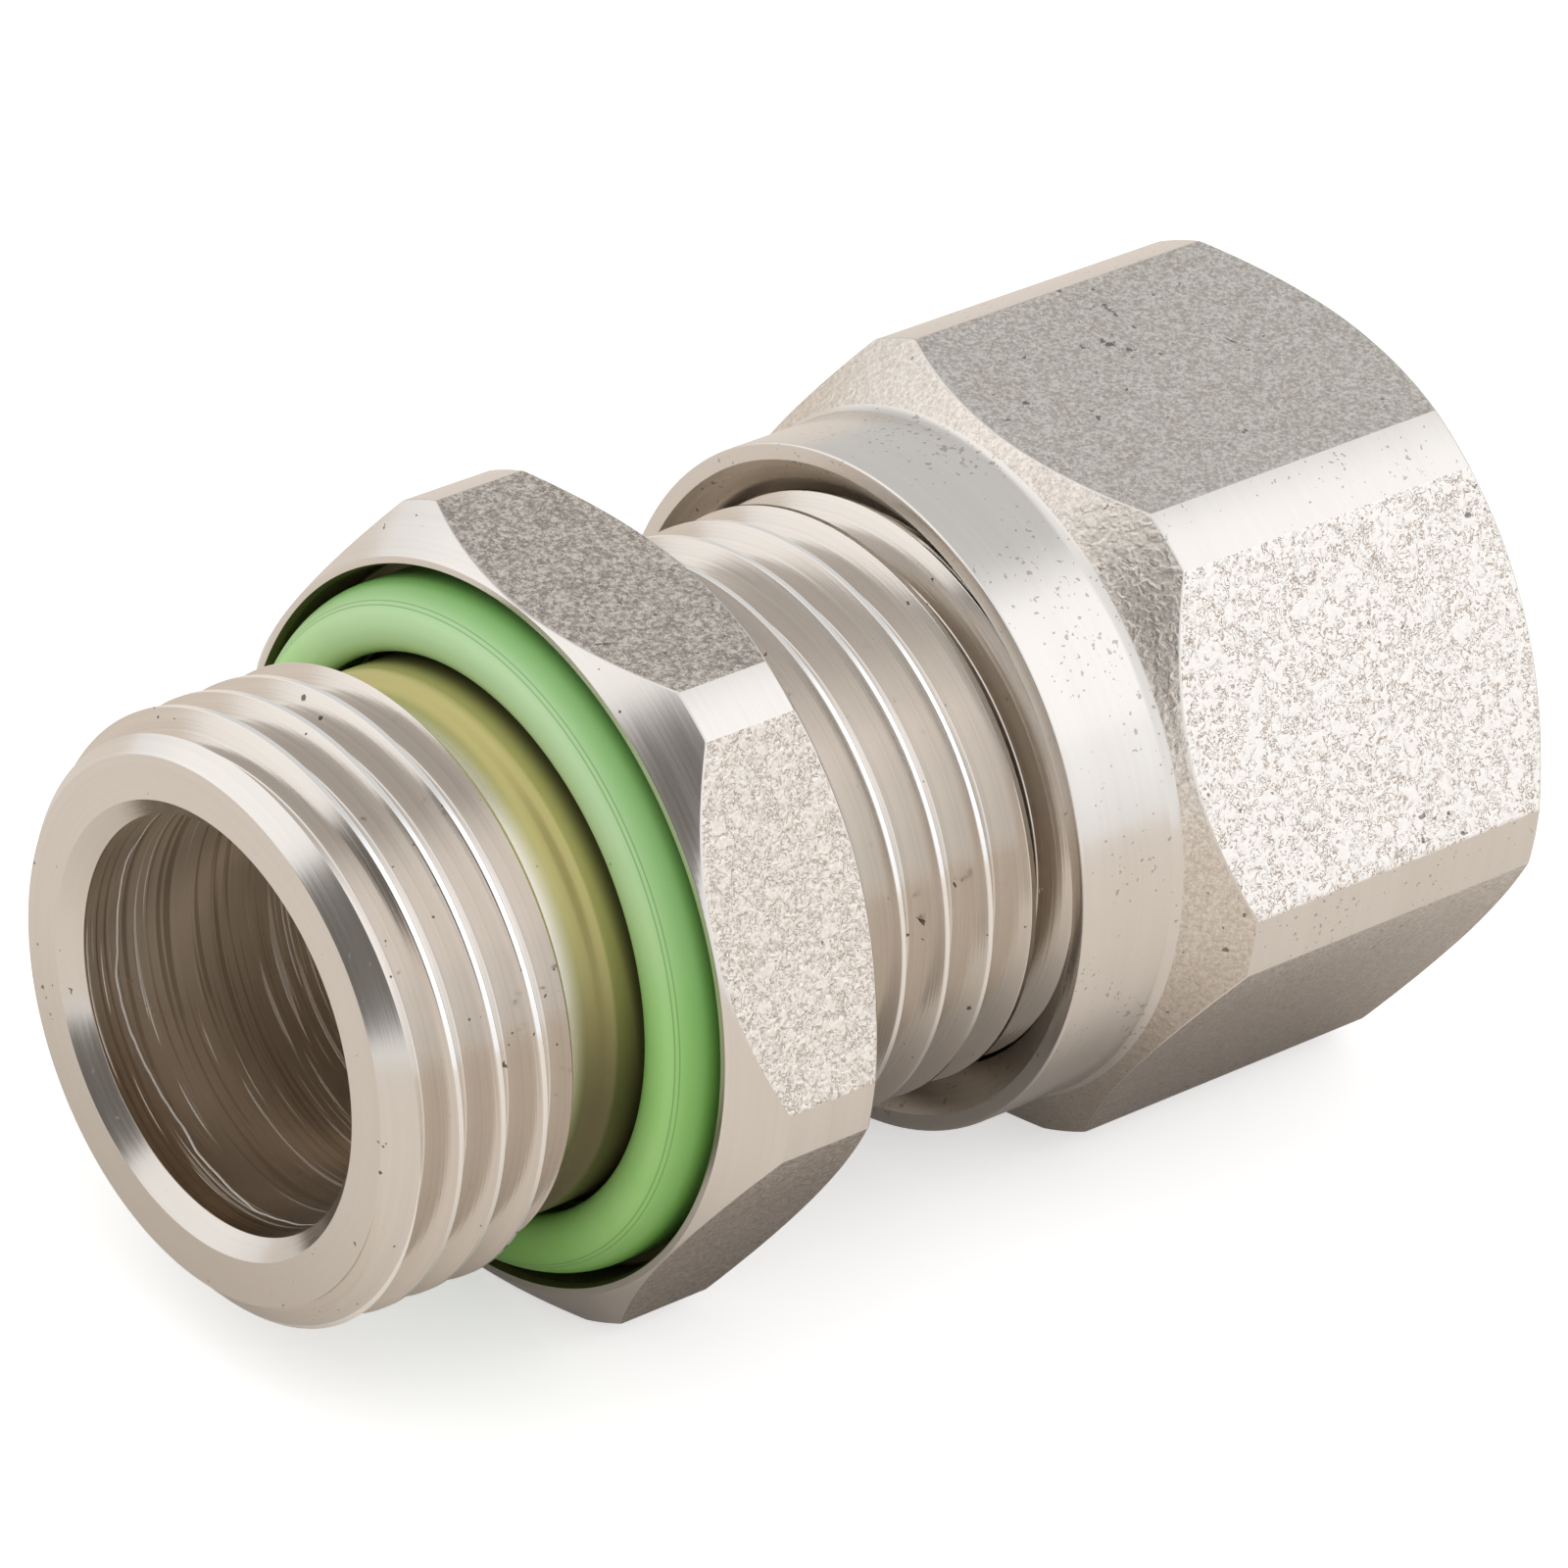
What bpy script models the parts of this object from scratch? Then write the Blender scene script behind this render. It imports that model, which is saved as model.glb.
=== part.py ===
"""Male stud coupling for a 15 mm tube: stud body, seal ring, cutting ring and union nut.

The coupling lies along X on the flats of its two hexagons, with the stud's nose at the -X end
and the tube entry at the +X end. The origin is under its middle, on the surface it lies on.
"""
import math

import bmesh
import bpy
from mathutils import Matrix

MM = 0.001

# Number of flat sides that stand for a full circle, and for a quarter of a rounded corner
SIDES = 36
CORNER_STEPS = 2

# Gap kept between pieces that touch on the real coupling
SEAT_GAP = 0.25 * MM

# How far the chamfer at a thread's end goes below the bottom of the thread
THREAD_END_DROP = 0.1 * MM

# How far a thread cutter's sides stay on their slope past the crest, and how far it then stands out
CUTTER_FLANK_EXTRA = 0.05 * MM
CUTTER_STANDOUT = 0.3 * MM

# Stud end: thread, relief groove, neck and bore
STUD_LENGTH = 12.05 * MM
STUD_MAJOR_D = 22.1 * MM
STUD_PITCH = 1.814 * MM
STUD_THREAD_HEIGHT = 1.1 * MM
STUD_CREST_WIDTH = 0.28 * MM
STUD_FLANK_ANGLE = 27.5
STUD_FIRST_GROOVE_X = 0.763 * MM
STUD_THREAD_LENGTH = 7.8 * MM
STUD_THREAD_RUNOUT = 0.55 * MM
RELIEF_DROP = 0.5 * MM
RELIEF_WIDTH = 1.5 * MM
RELIEF_FILLET = 0.5 * MM
NECK_RISE = 0.55 * MM
STUD_BORE_D = 15.2 * MM
STUD_BORE_DEPTH = 12.0 * MM
STUD_BORE_CHAMFER = 0.7 * MM
DRILL_POINT_ANGLE = 118.0

# Seal face: thin rim round a recess in the front of the hexagon
RECESS_DEPTH = 2.3 * MM
RECESS_SIDE_GAP = 0.45 * MM
RIM_EDGE_BREAK = 0.3 * MM
RIM_FLARE = 0.1 * MM
RIM_WIDTH = 0.25 * MM

# Both hexagons are equally wide across their flats, and the coupling lies on them
HEX_AF = 27.0 * MM

# Hexagon of the body, its corners turned round and chamfered at both ends
BODY_HEX_LENGTH = 6.85 * MM
BODY_CORNER_RISE = 1.55 * MM
BODY_FRONT_CHAMFER = 45.0
BODY_REAR_CHAMFER = 38.0
BODY_REAR_CHAMFER_RISE = 1.75 * MM

# Tube end of the body, from the inside outwards: flow bore, tube socket, cone, wall and thread
FLOW_BORE_D = 12.0 * MM
TUBE_D = 15.0 * MM
SOCKET_CLEARANCE = 0.05 * MM
SOCKET_DEPTH = 10.0 * MM
CONE_ANGLE = 24.0
CONE_RISE = 1.0 * MM
CONE_MOUTH_BREAK = 0.2 * MM
CONE_MOUTH_WALL = 1.15 * MM
TUBE_END_LENGTH = 14.1 * MM
TUBE_PITCH = 2.0 * MM
TUBE_THREAD_HEIGHT = 1.2 * MM
TUBE_CREST_WIDTH = 0.25 * MM
TUBE_FLANK_ANGLE = 30.0
TUBE_FIRST_GROOVE = 2.3 * MM
TUBE_RUNOUT_TURNS = 0.75
TUBE_THREAD_PHASE = 1.46 * MM

# Seal ring
SEAL_WIDTH = 2.4 * MM
SEAL_PROUD = 1.3 * MM
SEAL_CREST_INSET = 0.9 * MM
SEAL_INNER_ROUND = 0.65 * MM
SEAL_OUTER_ROUND = 1.65 * MM
SEAL_BACK_CHAMFER = 0.25 * MM

# Union nut, measured from its mouth
NUT_LENGTH = 21.4 * MM
NUT_COLLAR_D = 25.7 * MM
NUT_COLLAR_EDGE = 0.1 * MM
NUT_COLLAR_LENGTH = 4.35 * MM
NUT_COLLAR_FILLET = 0.6 * MM
NUT_CORNER_RISE = 1.45 * MM
NUT_FRONT_CHAMFER = 45.0
NUT_REAR_CHAMFER = 39.0
NUT_REAR_CHAMFER_RISE = 1.48 * MM
NUT_MOUTH_RIM = 0.625 * MM
NUT_THREAD_DEPTH = 12.6 * MM
NUT_RELIEF_EXTRA = 0.3 * MM
NUT_SHOULDER_START = 14.4 * MM
NUT_SHOULDER_LEDGE = 1.2 * MM
NUT_SHOULDER_ANGLE = 45.0
NUT_HOLE_CLEARANCE = 0.2 * MM
NUT_HOLE_CHAMFER = 0.5 * MM

# Play between the nut's thread and the body's: at its tips, at its bottom and on each flank
THREAD_TIP_CLEARANCE = 0.25 * MM
THREAD_TOP_CLEARANCE = 0.2 * MM
THREAD_SIDE_CLEARANCE = 0.16 * MM

# Cutting ring
CUTTING_TIP_WALL = 0.4 * MM
CUTTING_BORE_CLEARANCE = 0.1 * MM
CUTTING_TAPER_LENGTH = 4.0 * MM
CUTTING_WAIST_LENGTH = 6.5 * MM
CUTTING_COLLAR_INSET = 0.7 * MM
CUTTING_COLLAR_EDGE = 0.25 * MM
CUTTING_COLLAR_END = 8.0 * MM
CUTTING_REAR_WALL = 0.5 * MM

# How far the nut is unscrewed in the photo: from the body's seal face to the nut's mouth
NUT_MOUTH_FROM_SEAL_FACE = 16.85 * MM

# Places along the axis, from the stud's nose
SEAL_FACE_X = STUD_LENGTH
RECESS_FLOOR_X = SEAL_FACE_X + RECESS_DEPTH
HEX_REAR_X = SEAL_FACE_X + BODY_HEX_LENGTH
BODY_END_X = HEX_REAR_X + TUBE_END_LENGTH
NUT_MOUTH_X = SEAL_FACE_X + NUT_MOUTH_FROM_SEAL_FACE
TOTAL_LENGTH = NUT_MOUTH_X + NUT_LENGTH
AXIS_HEIGHT = HEX_AF / 2

# Radii that several pieces share
STUD_ROOT_R = STUD_MAJOR_D / 2 - STUD_THREAD_HEIGHT
RELIEF_R = STUD_ROOT_R - RELIEF_DROP
NECK_R = RELIEF_R + NECK_RISE
SEAL_INNER_R = NECK_R + SEAT_GAP
SEAL_OUTER_R = SEAL_INNER_R + SEAL_WIDTH
SOCKET_R = TUBE_D / 2 + SOCKET_CLEARANCE
CONE_MOUTH_R = SOCKET_R + CONE_RISE
TUBE_ROOT_R = CONE_MOUTH_R + CONE_MOUTH_WALL
TUBE_CREST_R = TUBE_ROOT_R + TUBE_THREAD_HEIGHT
NUT_GROOVE_R = TUBE_CREST_R + THREAD_TOP_CLEARANCE
NUT_RELIEF_R = NUT_GROOVE_R + NUT_RELIEF_EXTRA
NUT_SHOULDER_R = NUT_RELIEF_R - NUT_SHOULDER_LEDGE


def run(rise, degrees):
    """Distance along the axis in which a cone of this slope rises by the given radius."""
    return rise / math.tan(math.radians(degrees))


def flank(depth, degrees):
    """How much wider both sloping sides together make a thread over this depth."""
    return 2 * depth * math.tan(math.radians(degrees))


def arc(centre_x, centre_r, size_x, size_r, start, end, steps=CORNER_STEPS):
    """Points (x, radius) on part of an ellipse, angles in degrees from the +X direction."""
    points = []
    for step in range(steps + 1):
        angle = math.radians(start + (end - start) * step / steps)
        points.append((centre_x + size_x * math.cos(angle), centre_r + size_r * math.sin(angle)))
    return points


def link(obj, parent):
    bpy.context.scene.collection.objects.link(obj)
    obj.parent = parent
    return obj


def turned(name, outline, parent, x, material):
    """A piece turned from a closed outline of (x, radius) points about its own X axis."""
    mesh = bpy.data.meshes.new(name)
    shape = bmesh.new()
    ring = [shape.verts.new((px, 0.0, pr)) for px, pr in outline]
    edges = [shape.edges.new((ring[i - 1], ring[i])) for i in range(len(ring))]
    bmesh.ops.spin(
        shape, geom=ring + edges, cent=(0, 0, 0), axis=(1, 0, 0), dvec=(0, 0, 0),
        angle=2 * math.pi, steps=SIDES, use_merge=True,
    )
    bmesh.ops.recalc_face_normals(shape, faces=shape.faces)
    shape.to_mesh(mesh)
    shape.free()
    mesh.shade_smooth()
    mesh.set_sharp_from_angle(angle=math.radians(25))
    mesh.materials.append(material)
    piece = link(bpy.data.objects.new(name, mesh), parent)
    piece.location.x = x
    return piece


def machine(piece, name, shape, operation):
    """Applies a closed bmesh to a piece as a Boolean cutter that isn't part of the model."""
    mesh = bpy.data.meshes.new(piece.name + "_" + name)
    shape.to_mesh(mesh)
    shape.free()
    cutter = link(bpy.data.objects.new(mesh.name, mesh), piece)
    cutter.hide_render = True
    cutter.display_type = "WIRE"
    cut = piece.modifiers.new(name, "BOOLEAN")
    cut.operation = operation
    cut.object = cutter


def mill_hexagon(piece):
    """Leaves only what lies inside a hexagonal bar, with a flat on top and a flat underneath."""
    shape = bmesh.new()
    bmesh.ops.create_cone(
        shape, cap_ends=True, segments=6, depth=4 * TOTAL_LENGTH,
        radius1=HEX_AF / 2 / math.cos(math.pi / 6),
        radius2=HEX_AF / 2 / math.cos(math.pi / 6),
        matrix=Matrix.Rotation(math.pi / 2, 4, "Y"),
    )
    machine(piece, "hexagon", shape, "INTERSECT")


def cut_thread(piece, section, pitch, phase, start_x, end_x, runout=0.0, lift=0.0):
    """Cuts a right-handed helical groove with a section of (x, radius) points.

    The groove's middle lies at phase at +Y, and a pitch further along +X after each turn from +Y
    towards +Z. Over the runout length at its start the section rises out of the piece by the lift.
    """
    shape = bmesh.new()
    first = math.ceil((start_x - phase) / pitch * SIDES - 0.5)
    last = math.floor((end_x - phase) / pitch * SIDES - 0.5)
    rings = []
    for step in range(first, last + 1):
        turn = (step + 0.5) / SIDES
        angle = 2 * math.pi * turn
        middle = phase + pitch * turn
        rise = lift * max(0.0, 1 - (middle - start_x) / runout) if runout else 0.0
        rings.append([
            shape.verts.new((middle + px, (pr + rise) * math.cos(angle), (pr + rise) * math.sin(angle)))
            for px, pr in section
        ])
    for near, far in zip(rings, rings[1:]):
        for i in range(len(section)):
            shape.faces.new((near[i - 1], near[i], far[i], far[i - 1]))
    shape.faces.new(rings[0])
    shape.faces.new(rings[-1])
    bmesh.ops.recalc_face_normals(shape, faces=shape.faces)
    machine(piece, "thread_" + str(len(piece.modifiers)), shape, "DIFFERENCE")


def groove_section(root_r, root_width, crest_r, crest_opening, degrees):
    """Section of a thread groove: flat bottom, sloping flanks, and straight sides past the crest.

    The bottom lies inside the crest for an outer thread and outside it for an inner thread.
    """
    outward = 1 if crest_r > root_r else -1
    flank_end_r = crest_r + outward * CUTTER_FLANK_EXTRA
    half_root = root_width / 2
    half_open = (crest_opening + flank(CUTTER_FLANK_EXTRA, degrees)) / 2
    reach_r = flank_end_r + outward * CUTTER_STANDOUT
    return [
        (-half_root, root_r),
        (half_root, root_r),
        (half_open, flank_end_r),
        (half_open, reach_r),
        (-half_open, reach_r),
        (-half_open, flank_end_r),
    ]


def metal(name, colour, roughness, metallic):
    material = bpy.data.materials.new(name)
    material.use_nodes = True
    shader = material.node_tree.nodes["Principled BSDF"]
    shader.inputs["Base Color"].default_value = (*colour, 1.0)
    shader.inputs["Roughness"].default_value = roughness
    shader.inputs["Metallic"].default_value = metallic
    return material


def stud_outline():
    """Outside of the stud, from the nose face back to the recess floor."""
    major = STUD_MAJOR_D / 2
    nose = STUD_ROOT_R - THREAD_END_DROP
    relief_end = STUD_THREAD_LENGTH + RELIEF_WIDTH
    points = [(0.0, STUD_BORE_D / 2 + STUD_BORE_CHAMFER), (0.0, nose), (major - nose, major)]
    points += [(STUD_THREAD_LENGTH - STUD_THREAD_RUNOUT, major)]
    points += [(STUD_THREAD_LENGTH, major - STUD_THREAD_RUNOUT)]
    points += arc(
        STUD_THREAD_LENGTH + RELIEF_FILLET, RELIEF_R + RELIEF_FILLET, RELIEF_FILLET, RELIEF_FILLET, 180, 270,
    )
    points += arc(relief_end, NECK_R, NECK_RISE, -NECK_RISE, 90, 0)
    points += [(RECESS_FLOOR_X, NECK_R)]
    return points


def hexagon_outline():
    """Recess, rim and the turned blank of the hexagon, from the recess floor to the rear face."""
    recess = SEAL_OUTER_R + RECESS_SIDE_GAP
    rim_in = recess + RIM_FLARE
    rim_out = rim_in + RIM_WIDTH
    corner = HEX_AF / 2 + BODY_CORNER_RISE
    front_x = SEAL_FACE_X + run(corner - rim_out, BODY_FRONT_CHAMFER)
    rear_x = HEX_REAR_X - run(BODY_REAR_CHAMFER_RISE, 90 - BODY_REAR_CHAMFER)
    return [
        (RECESS_FLOOR_X, recess),
        (SEAL_FACE_X + RIM_EDGE_BREAK, recess),
        (SEAL_FACE_X, rim_in),
        (SEAL_FACE_X, rim_out),
        (front_x, corner),
        (rear_x, corner),
        (HEX_REAR_X, corner - BODY_REAR_CHAMFER_RISE),
    ]


def tube_end_outline():
    """Thread blank, cone, tube socket and bores, from the hexagon's rear face back to the nose."""
    end = TUBE_ROOT_R - THREAD_END_DROP
    flow = FLOW_BORE_D / 2
    bore = STUD_BORE_D / 2
    cone_end_x = BODY_END_X - CONE_MOUTH_BREAK - run(CONE_RISE, CONE_ANGLE / 2)
    stop_x = BODY_END_X - SOCKET_DEPTH
    step_x = STUD_BORE_DEPTH + run(bore - flow, DRILL_POINT_ANGLE / 2)
    return [
        (HEX_REAR_X, TUBE_CREST_R),
        (BODY_END_X - (TUBE_CREST_R - end), TUBE_CREST_R),
        (BODY_END_X, end),
        (BODY_END_X, CONE_MOUTH_R + CONE_MOUTH_BREAK),
        (BODY_END_X - CONE_MOUTH_BREAK, CONE_MOUTH_R),
        (cone_end_x, SOCKET_R),
        (stop_x, SOCKET_R),
        (stop_x, flow),
        (step_x, flow),
        (STUD_BORE_DEPTH, bore),
        (STUD_BORE_CHAMFER, bore),
    ]


def make_stud_body(parent, material):
    outline = stud_outline() + hexagon_outline() + tube_end_outline()
    body = turned("stud_body", outline, parent, 0.0, material)
    mill_hexagon(body)
    opening = STUD_PITCH - STUD_CREST_WIDTH
    root = opening - flank(STUD_THREAD_HEIGHT, STUD_FLANK_ANGLE)
    section = groove_section(STUD_ROOT_R, root, STUD_MAJOR_D / 2, opening, STUD_FLANK_ANGLE)
    relief_middle = STUD_THREAD_LENGTH + RELIEF_WIDTH / 2
    cut_thread(body, section, STUD_PITCH, STUD_FIRST_GROOVE_X, -STUD_PITCH, relief_middle)
    opening = TUBE_PITCH - TUBE_CREST_WIDTH
    root = opening - flank(TUBE_THREAD_HEIGHT, TUBE_FLANK_ANGLE)
    section = groove_section(TUBE_ROOT_R, root, TUBE_CREST_R, opening, TUBE_FLANK_ANGLE)
    cut_thread(
        body, section, TUBE_PITCH, HEX_REAR_X + TUBE_THREAD_PHASE,
        HEX_REAR_X + TUBE_FIRST_GROOVE, BODY_END_X + TUBE_PITCH,
        runout=TUBE_PITCH * TUBE_RUNOUT_TURNS, lift=TUBE_THREAD_HEIGHT + CUTTER_FLANK_EXTRA,
    )
    return body


def make_seal_ring(parent, material):
    """Ring with a rounded front; its own x is measured from the body's seal face."""
    crest = SEAL_INNER_R + SEAL_CREST_INSET
    back_x = RECESS_DEPTH - SEAT_GAP
    front_x = -SEAL_PROUD
    outline = [(back_x, SEAL_INNER_R)]
    outline += arc(front_x + SEAL_INNER_ROUND, crest, SEAL_INNER_ROUND, SEAL_CREST_INSET, 270, 180, 3)
    outline += arc(
        front_x + SEAL_OUTER_ROUND, crest, SEAL_OUTER_ROUND, SEAL_OUTER_R - crest, 180, 90, 5,
    )[1:]
    outline += [(back_x - SEAL_BACK_CHAMFER, SEAL_OUTER_R), (back_x, SEAL_OUTER_R - SEAL_BACK_CHAMFER)]
    return turned("seal_ring", outline, parent, SEAL_FACE_X, material)


def make_union_nut(parent, material):
    """Nut whose inner thread is the body's thread with play all round it."""
    collar = NUT_COLLAR_D / 2
    corner = HEX_AF / 2 + NUT_CORNER_RISE
    mouth = collar - NUT_MOUTH_RIM
    tip = TUBE_ROOT_R + THREAD_TIP_CLEARANCE
    hole = TUBE_D / 2 + NUT_HOLE_CLEARANCE
    hex_front_x = NUT_COLLAR_LENGTH + run(corner - collar, NUT_FRONT_CHAMFER)
    hex_rear_x = NUT_LENGTH - run(NUT_REAR_CHAMFER_RISE, 90 - NUT_REAR_CHAMFER)
    fillet = NUT_COLLAR_FILLET
    reach = fillet * math.tan(math.radians(NUT_FRONT_CHAMFER / 2))
    outline = [(0.0, mouth), (0.0, collar - NUT_COLLAR_EDGE), (NUT_COLLAR_EDGE, collar)]
    outline += arc(
        NUT_COLLAR_LENGTH - reach, collar + fillet, fillet, fillet, 270, 270 + NUT_FRONT_CHAMFER,
    )
    outline += [(hex_front_x, corner), (hex_rear_x, corner)]
    outline += [(NUT_LENGTH, corner - NUT_REAR_CHAMFER_RISE)]
    outline += [(NUT_LENGTH, hole + NUT_HOLE_CHAMFER), (NUT_LENGTH - NUT_HOLE_CHAMFER, hole)]
    outline += [(NUT_SHOULDER_START + run(NUT_SHOULDER_R - hole, NUT_SHOULDER_ANGLE), hole)]
    outline += [(NUT_SHOULDER_START, NUT_SHOULDER_R), (NUT_SHOULDER_START, NUT_RELIEF_R)]
    outline += [(NUT_THREAD_DEPTH, NUT_RELIEF_R), (NUT_THREAD_DEPTH, tip), (mouth - tip, tip)]
    nut = turned("union_nut", outline, parent, NUT_MOUTH_X, material)
    mill_hexagon(nut)
    play = 2 * THREAD_SIDE_CLEARANCE
    opening = TUBE_CREST_WIDTH + flank(TUBE_CREST_R - tip, TUBE_FLANK_ANGLE) + play
    root = TUBE_CREST_WIDTH - flank(THREAD_TOP_CLEARANCE, TUBE_FLANK_ANGLE) + play
    section = groove_section(NUT_GROOVE_R, root, tip, opening, TUBE_FLANK_ANGLE)
    ridge_x = HEX_REAR_X + TUBE_THREAD_PHASE + TUBE_PITCH / 2
    relief_middle = (NUT_THREAD_DEPTH + NUT_SHOULDER_START) / 2
    cut_thread(nut, section, TUBE_PITCH, ridge_x - NUT_MOUTH_X, -TUBE_PITCH, relief_middle)
    return nut


def make_cutting_ring(parent, material):
    """Ring whose rear cone rests on the nut's shoulder; its own x starts at its cutting tip."""
    bore = TUBE_D / 2 + CUTTING_BORE_CLEARANCE
    tip = bore + CUTTING_TIP_WALL
    waist = tip + CUTTING_TAPER_LENGTH * math.tan(math.radians(CONE_ANGLE / 2))
    collar = NUT_SHOULDER_R - CUTTING_COLLAR_INSET
    rear = bore + CUTTING_REAR_WALL
    rear_x = CUTTING_COLLAR_END + run(collar - rear, NUT_SHOULDER_ANGLE)
    outline = [
        (0.0, bore),
        (0.0, tip),
        (CUTTING_TAPER_LENGTH, waist),
        (CUTTING_WAIST_LENGTH, waist),
        (CUTTING_WAIST_LENGTH, collar - CUTTING_COLLAR_EDGE),
        (CUTTING_WAIST_LENGTH + CUTTING_COLLAR_EDGE, collar),
        (CUTTING_COLLAR_END, collar),
        (rear_x, rear),
        (rear_x, bore),
    ]
    shoulder_gap = SEAT_GAP / math.sin(math.radians(NUT_SHOULDER_ANGLE))
    collar_seat_x = NUT_SHOULDER_START + run(CUTTING_COLLAR_INSET, NUT_SHOULDER_ANGLE)
    tip_x = NUT_MOUTH_X + collar_seat_x - shoulder_gap - CUTTING_COLLAR_END
    return turned("cutting_ring", outline, parent, tip_x, material)


def make_coupling():
    for obj in list(bpy.data.objects):
        bpy.data.objects.remove(obj, do_unlink=True)
    steel = metal("turned_stainless_steel", (0.60, 0.56, 0.52), 0.28, 1.0)
    ring_steel = metal("cutting_ring_steel", (0.50, 0.49, 0.47), 0.35, 1.0)
    rubber = metal("green_elastomer", (0.22, 0.56, 0.19), 0.45, 0.0)
    axis = link(bpy.data.objects.new("coupling_axis", None), None)
    axis.location = (-TOTAL_LENGTH / 2, 0.0, AXIS_HEIGHT)
    make_stud_body(axis, steel)
    make_seal_ring(axis, rubber)
    make_cutting_ring(axis, ring_steel)
    make_union_nut(axis, steel)


make_coupling()
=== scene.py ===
"""Looks of a male stud coupling: turned and milled steel, a green seal ring and a union nut."""
import math

import bmesh
import bpy
from mathutils import Matrix, Vector


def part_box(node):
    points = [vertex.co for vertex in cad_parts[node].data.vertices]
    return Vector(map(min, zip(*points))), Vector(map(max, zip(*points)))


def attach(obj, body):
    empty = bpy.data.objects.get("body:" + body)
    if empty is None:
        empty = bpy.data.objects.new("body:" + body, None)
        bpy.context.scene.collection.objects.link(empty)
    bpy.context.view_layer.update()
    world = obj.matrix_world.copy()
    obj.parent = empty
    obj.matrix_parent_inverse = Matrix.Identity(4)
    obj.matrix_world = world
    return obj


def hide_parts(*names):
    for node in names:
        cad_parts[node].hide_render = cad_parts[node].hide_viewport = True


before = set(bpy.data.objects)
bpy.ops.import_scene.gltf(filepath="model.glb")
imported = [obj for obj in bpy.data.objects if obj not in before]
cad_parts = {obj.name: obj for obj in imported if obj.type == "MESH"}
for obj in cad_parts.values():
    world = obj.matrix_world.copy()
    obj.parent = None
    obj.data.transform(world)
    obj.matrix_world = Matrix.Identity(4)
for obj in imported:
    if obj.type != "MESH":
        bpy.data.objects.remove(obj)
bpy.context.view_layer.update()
MM = 0.001


# Studio: a white floor in a light tent, with one soft box to the right of the camera. The tent is
# brightest at the back left, greyer behind the coupling, and dark in its opening at the left of
# the camera and in a small patch beside it, over a brown sill. The turned steel shows them all as
# white, grey and black bands.
CAMERA_TARGET = Vector((0.7, 0.0, 14.8)) * MM
CAMERA_AZIMUTH = 45.35
CAMERA_ELEVATION = 34.49
CAMERA_DISTANCE = 368.0 * MM
CAMERA_ROLL = 8.63
CAMERA_LENS = 238.0
FLOOR_SIZE = 4.0
FLOOR_COLOUR = (0.80, 0.71, 0.62, 1.0)
# Painted shadow on the floor round the coupling, which the steel reflects and the diffuse light picks up.
PAINTED_FLOOR_SHADOW = (0.34, 0.29, 0.24, 1.0)
FOOTPRINT_MIDDLE = (7.0 * MM, 0.0, 0.0)
FOOTPRINT = (20.0 * MM, 12.0 * MM)
FLOOR_GLOW = 0.5
WHITE_FLOOR_IN_METAL = 0.15
WHITE = (1.0, 1.0, 1.0, 1.0)
LAMP_DIRECTION = (-38.0, 42.0)
LAMP_DISTANCE = 0.6
LAMP_SIZE = 0.34
LAMP_RADIANCE = 0.15
TENT_TOP = (1.0, 1.0, 1.0, 1.0)
TENT_HORIZON = (0.78, 0.78, 0.78, 1.0)
TENT_PATCHES = (
    # azimuth and elevation of its middle, full and fading radius in degrees, colour
    ("grey_back", 38.0, 32.0, 30.0, 56.0, (0.69, 0.685, 0.68, 1.0)),
    ("bright_back_left", 143.0, 30.0, 24.0, 48.0, (1.18, 1.17, 1.16, 1.0)),
    ("bright_right", -39.0, 38.0, 20.0, 38.0, (1.13, 1.13, 1.14, 1.0)),
    ("dark_opening", -170.0, 17.0, 23.0, 28.0, (0.16, 0.148, 0.135, 1.0)),
    ("brown_sill", -175.0, 0.0, 2.0, 7.0, (0.50, 0.43, 0.36, 1.0)),
    ("dark_left", 171.0, 8.0, 8.0, 13.0, (0.16, 0.148, 0.135, 1.0)),
)


def direction(azimuth, elevation):
    """Unit vector, azimuth in degrees from +X towards +Y and elevation in degrees above the floor."""
    azimuth = math.radians(azimuth)
    elevation = math.radians(elevation)
    level = math.cos(elevation)
    return Vector((level * math.cos(azimuth), level * math.sin(azimuth), math.sin(elevation)))


def node(tree, kind, inputs=None, **settings):
    """Adds a node, sets its options, and fills or links its inputs by name or number."""
    made = tree.nodes.new(kind)
    for name, value in settings.items():
        setattr(made, name, value)
    for key, value in (inputs or {}).items():
        if isinstance(value, bpy.types.NodeSocket):
            tree.links.new(value, made.inputs[key])
        else:
            made.inputs[key].default_value = value
    return made


def calc(tree, operation, *values):
    """Output of a Math node."""
    return node(tree, "ShaderNodeMath", dict(enumerate(values)), operation=operation).outputs[0]


def fade(tree, value, low, high):
    """Rises smoothly from 0 to 1 while the value goes from low to high."""
    limits = {"Value": value, "From Min": low, "From Max": high}
    return node(tree, "ShaderNodeMapRange", limits, interpolation_type="SMOOTHSTEP").outputs["Result"]


def blend_colours(tree, factor, first, second, mode="MIX"):
    colours = {"Factor": factor, 6: first, 7: second}
    return node(tree, "ShaderNodeMix", colours, data_type="RGBA", blend_type=mode).outputs[2]


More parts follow.
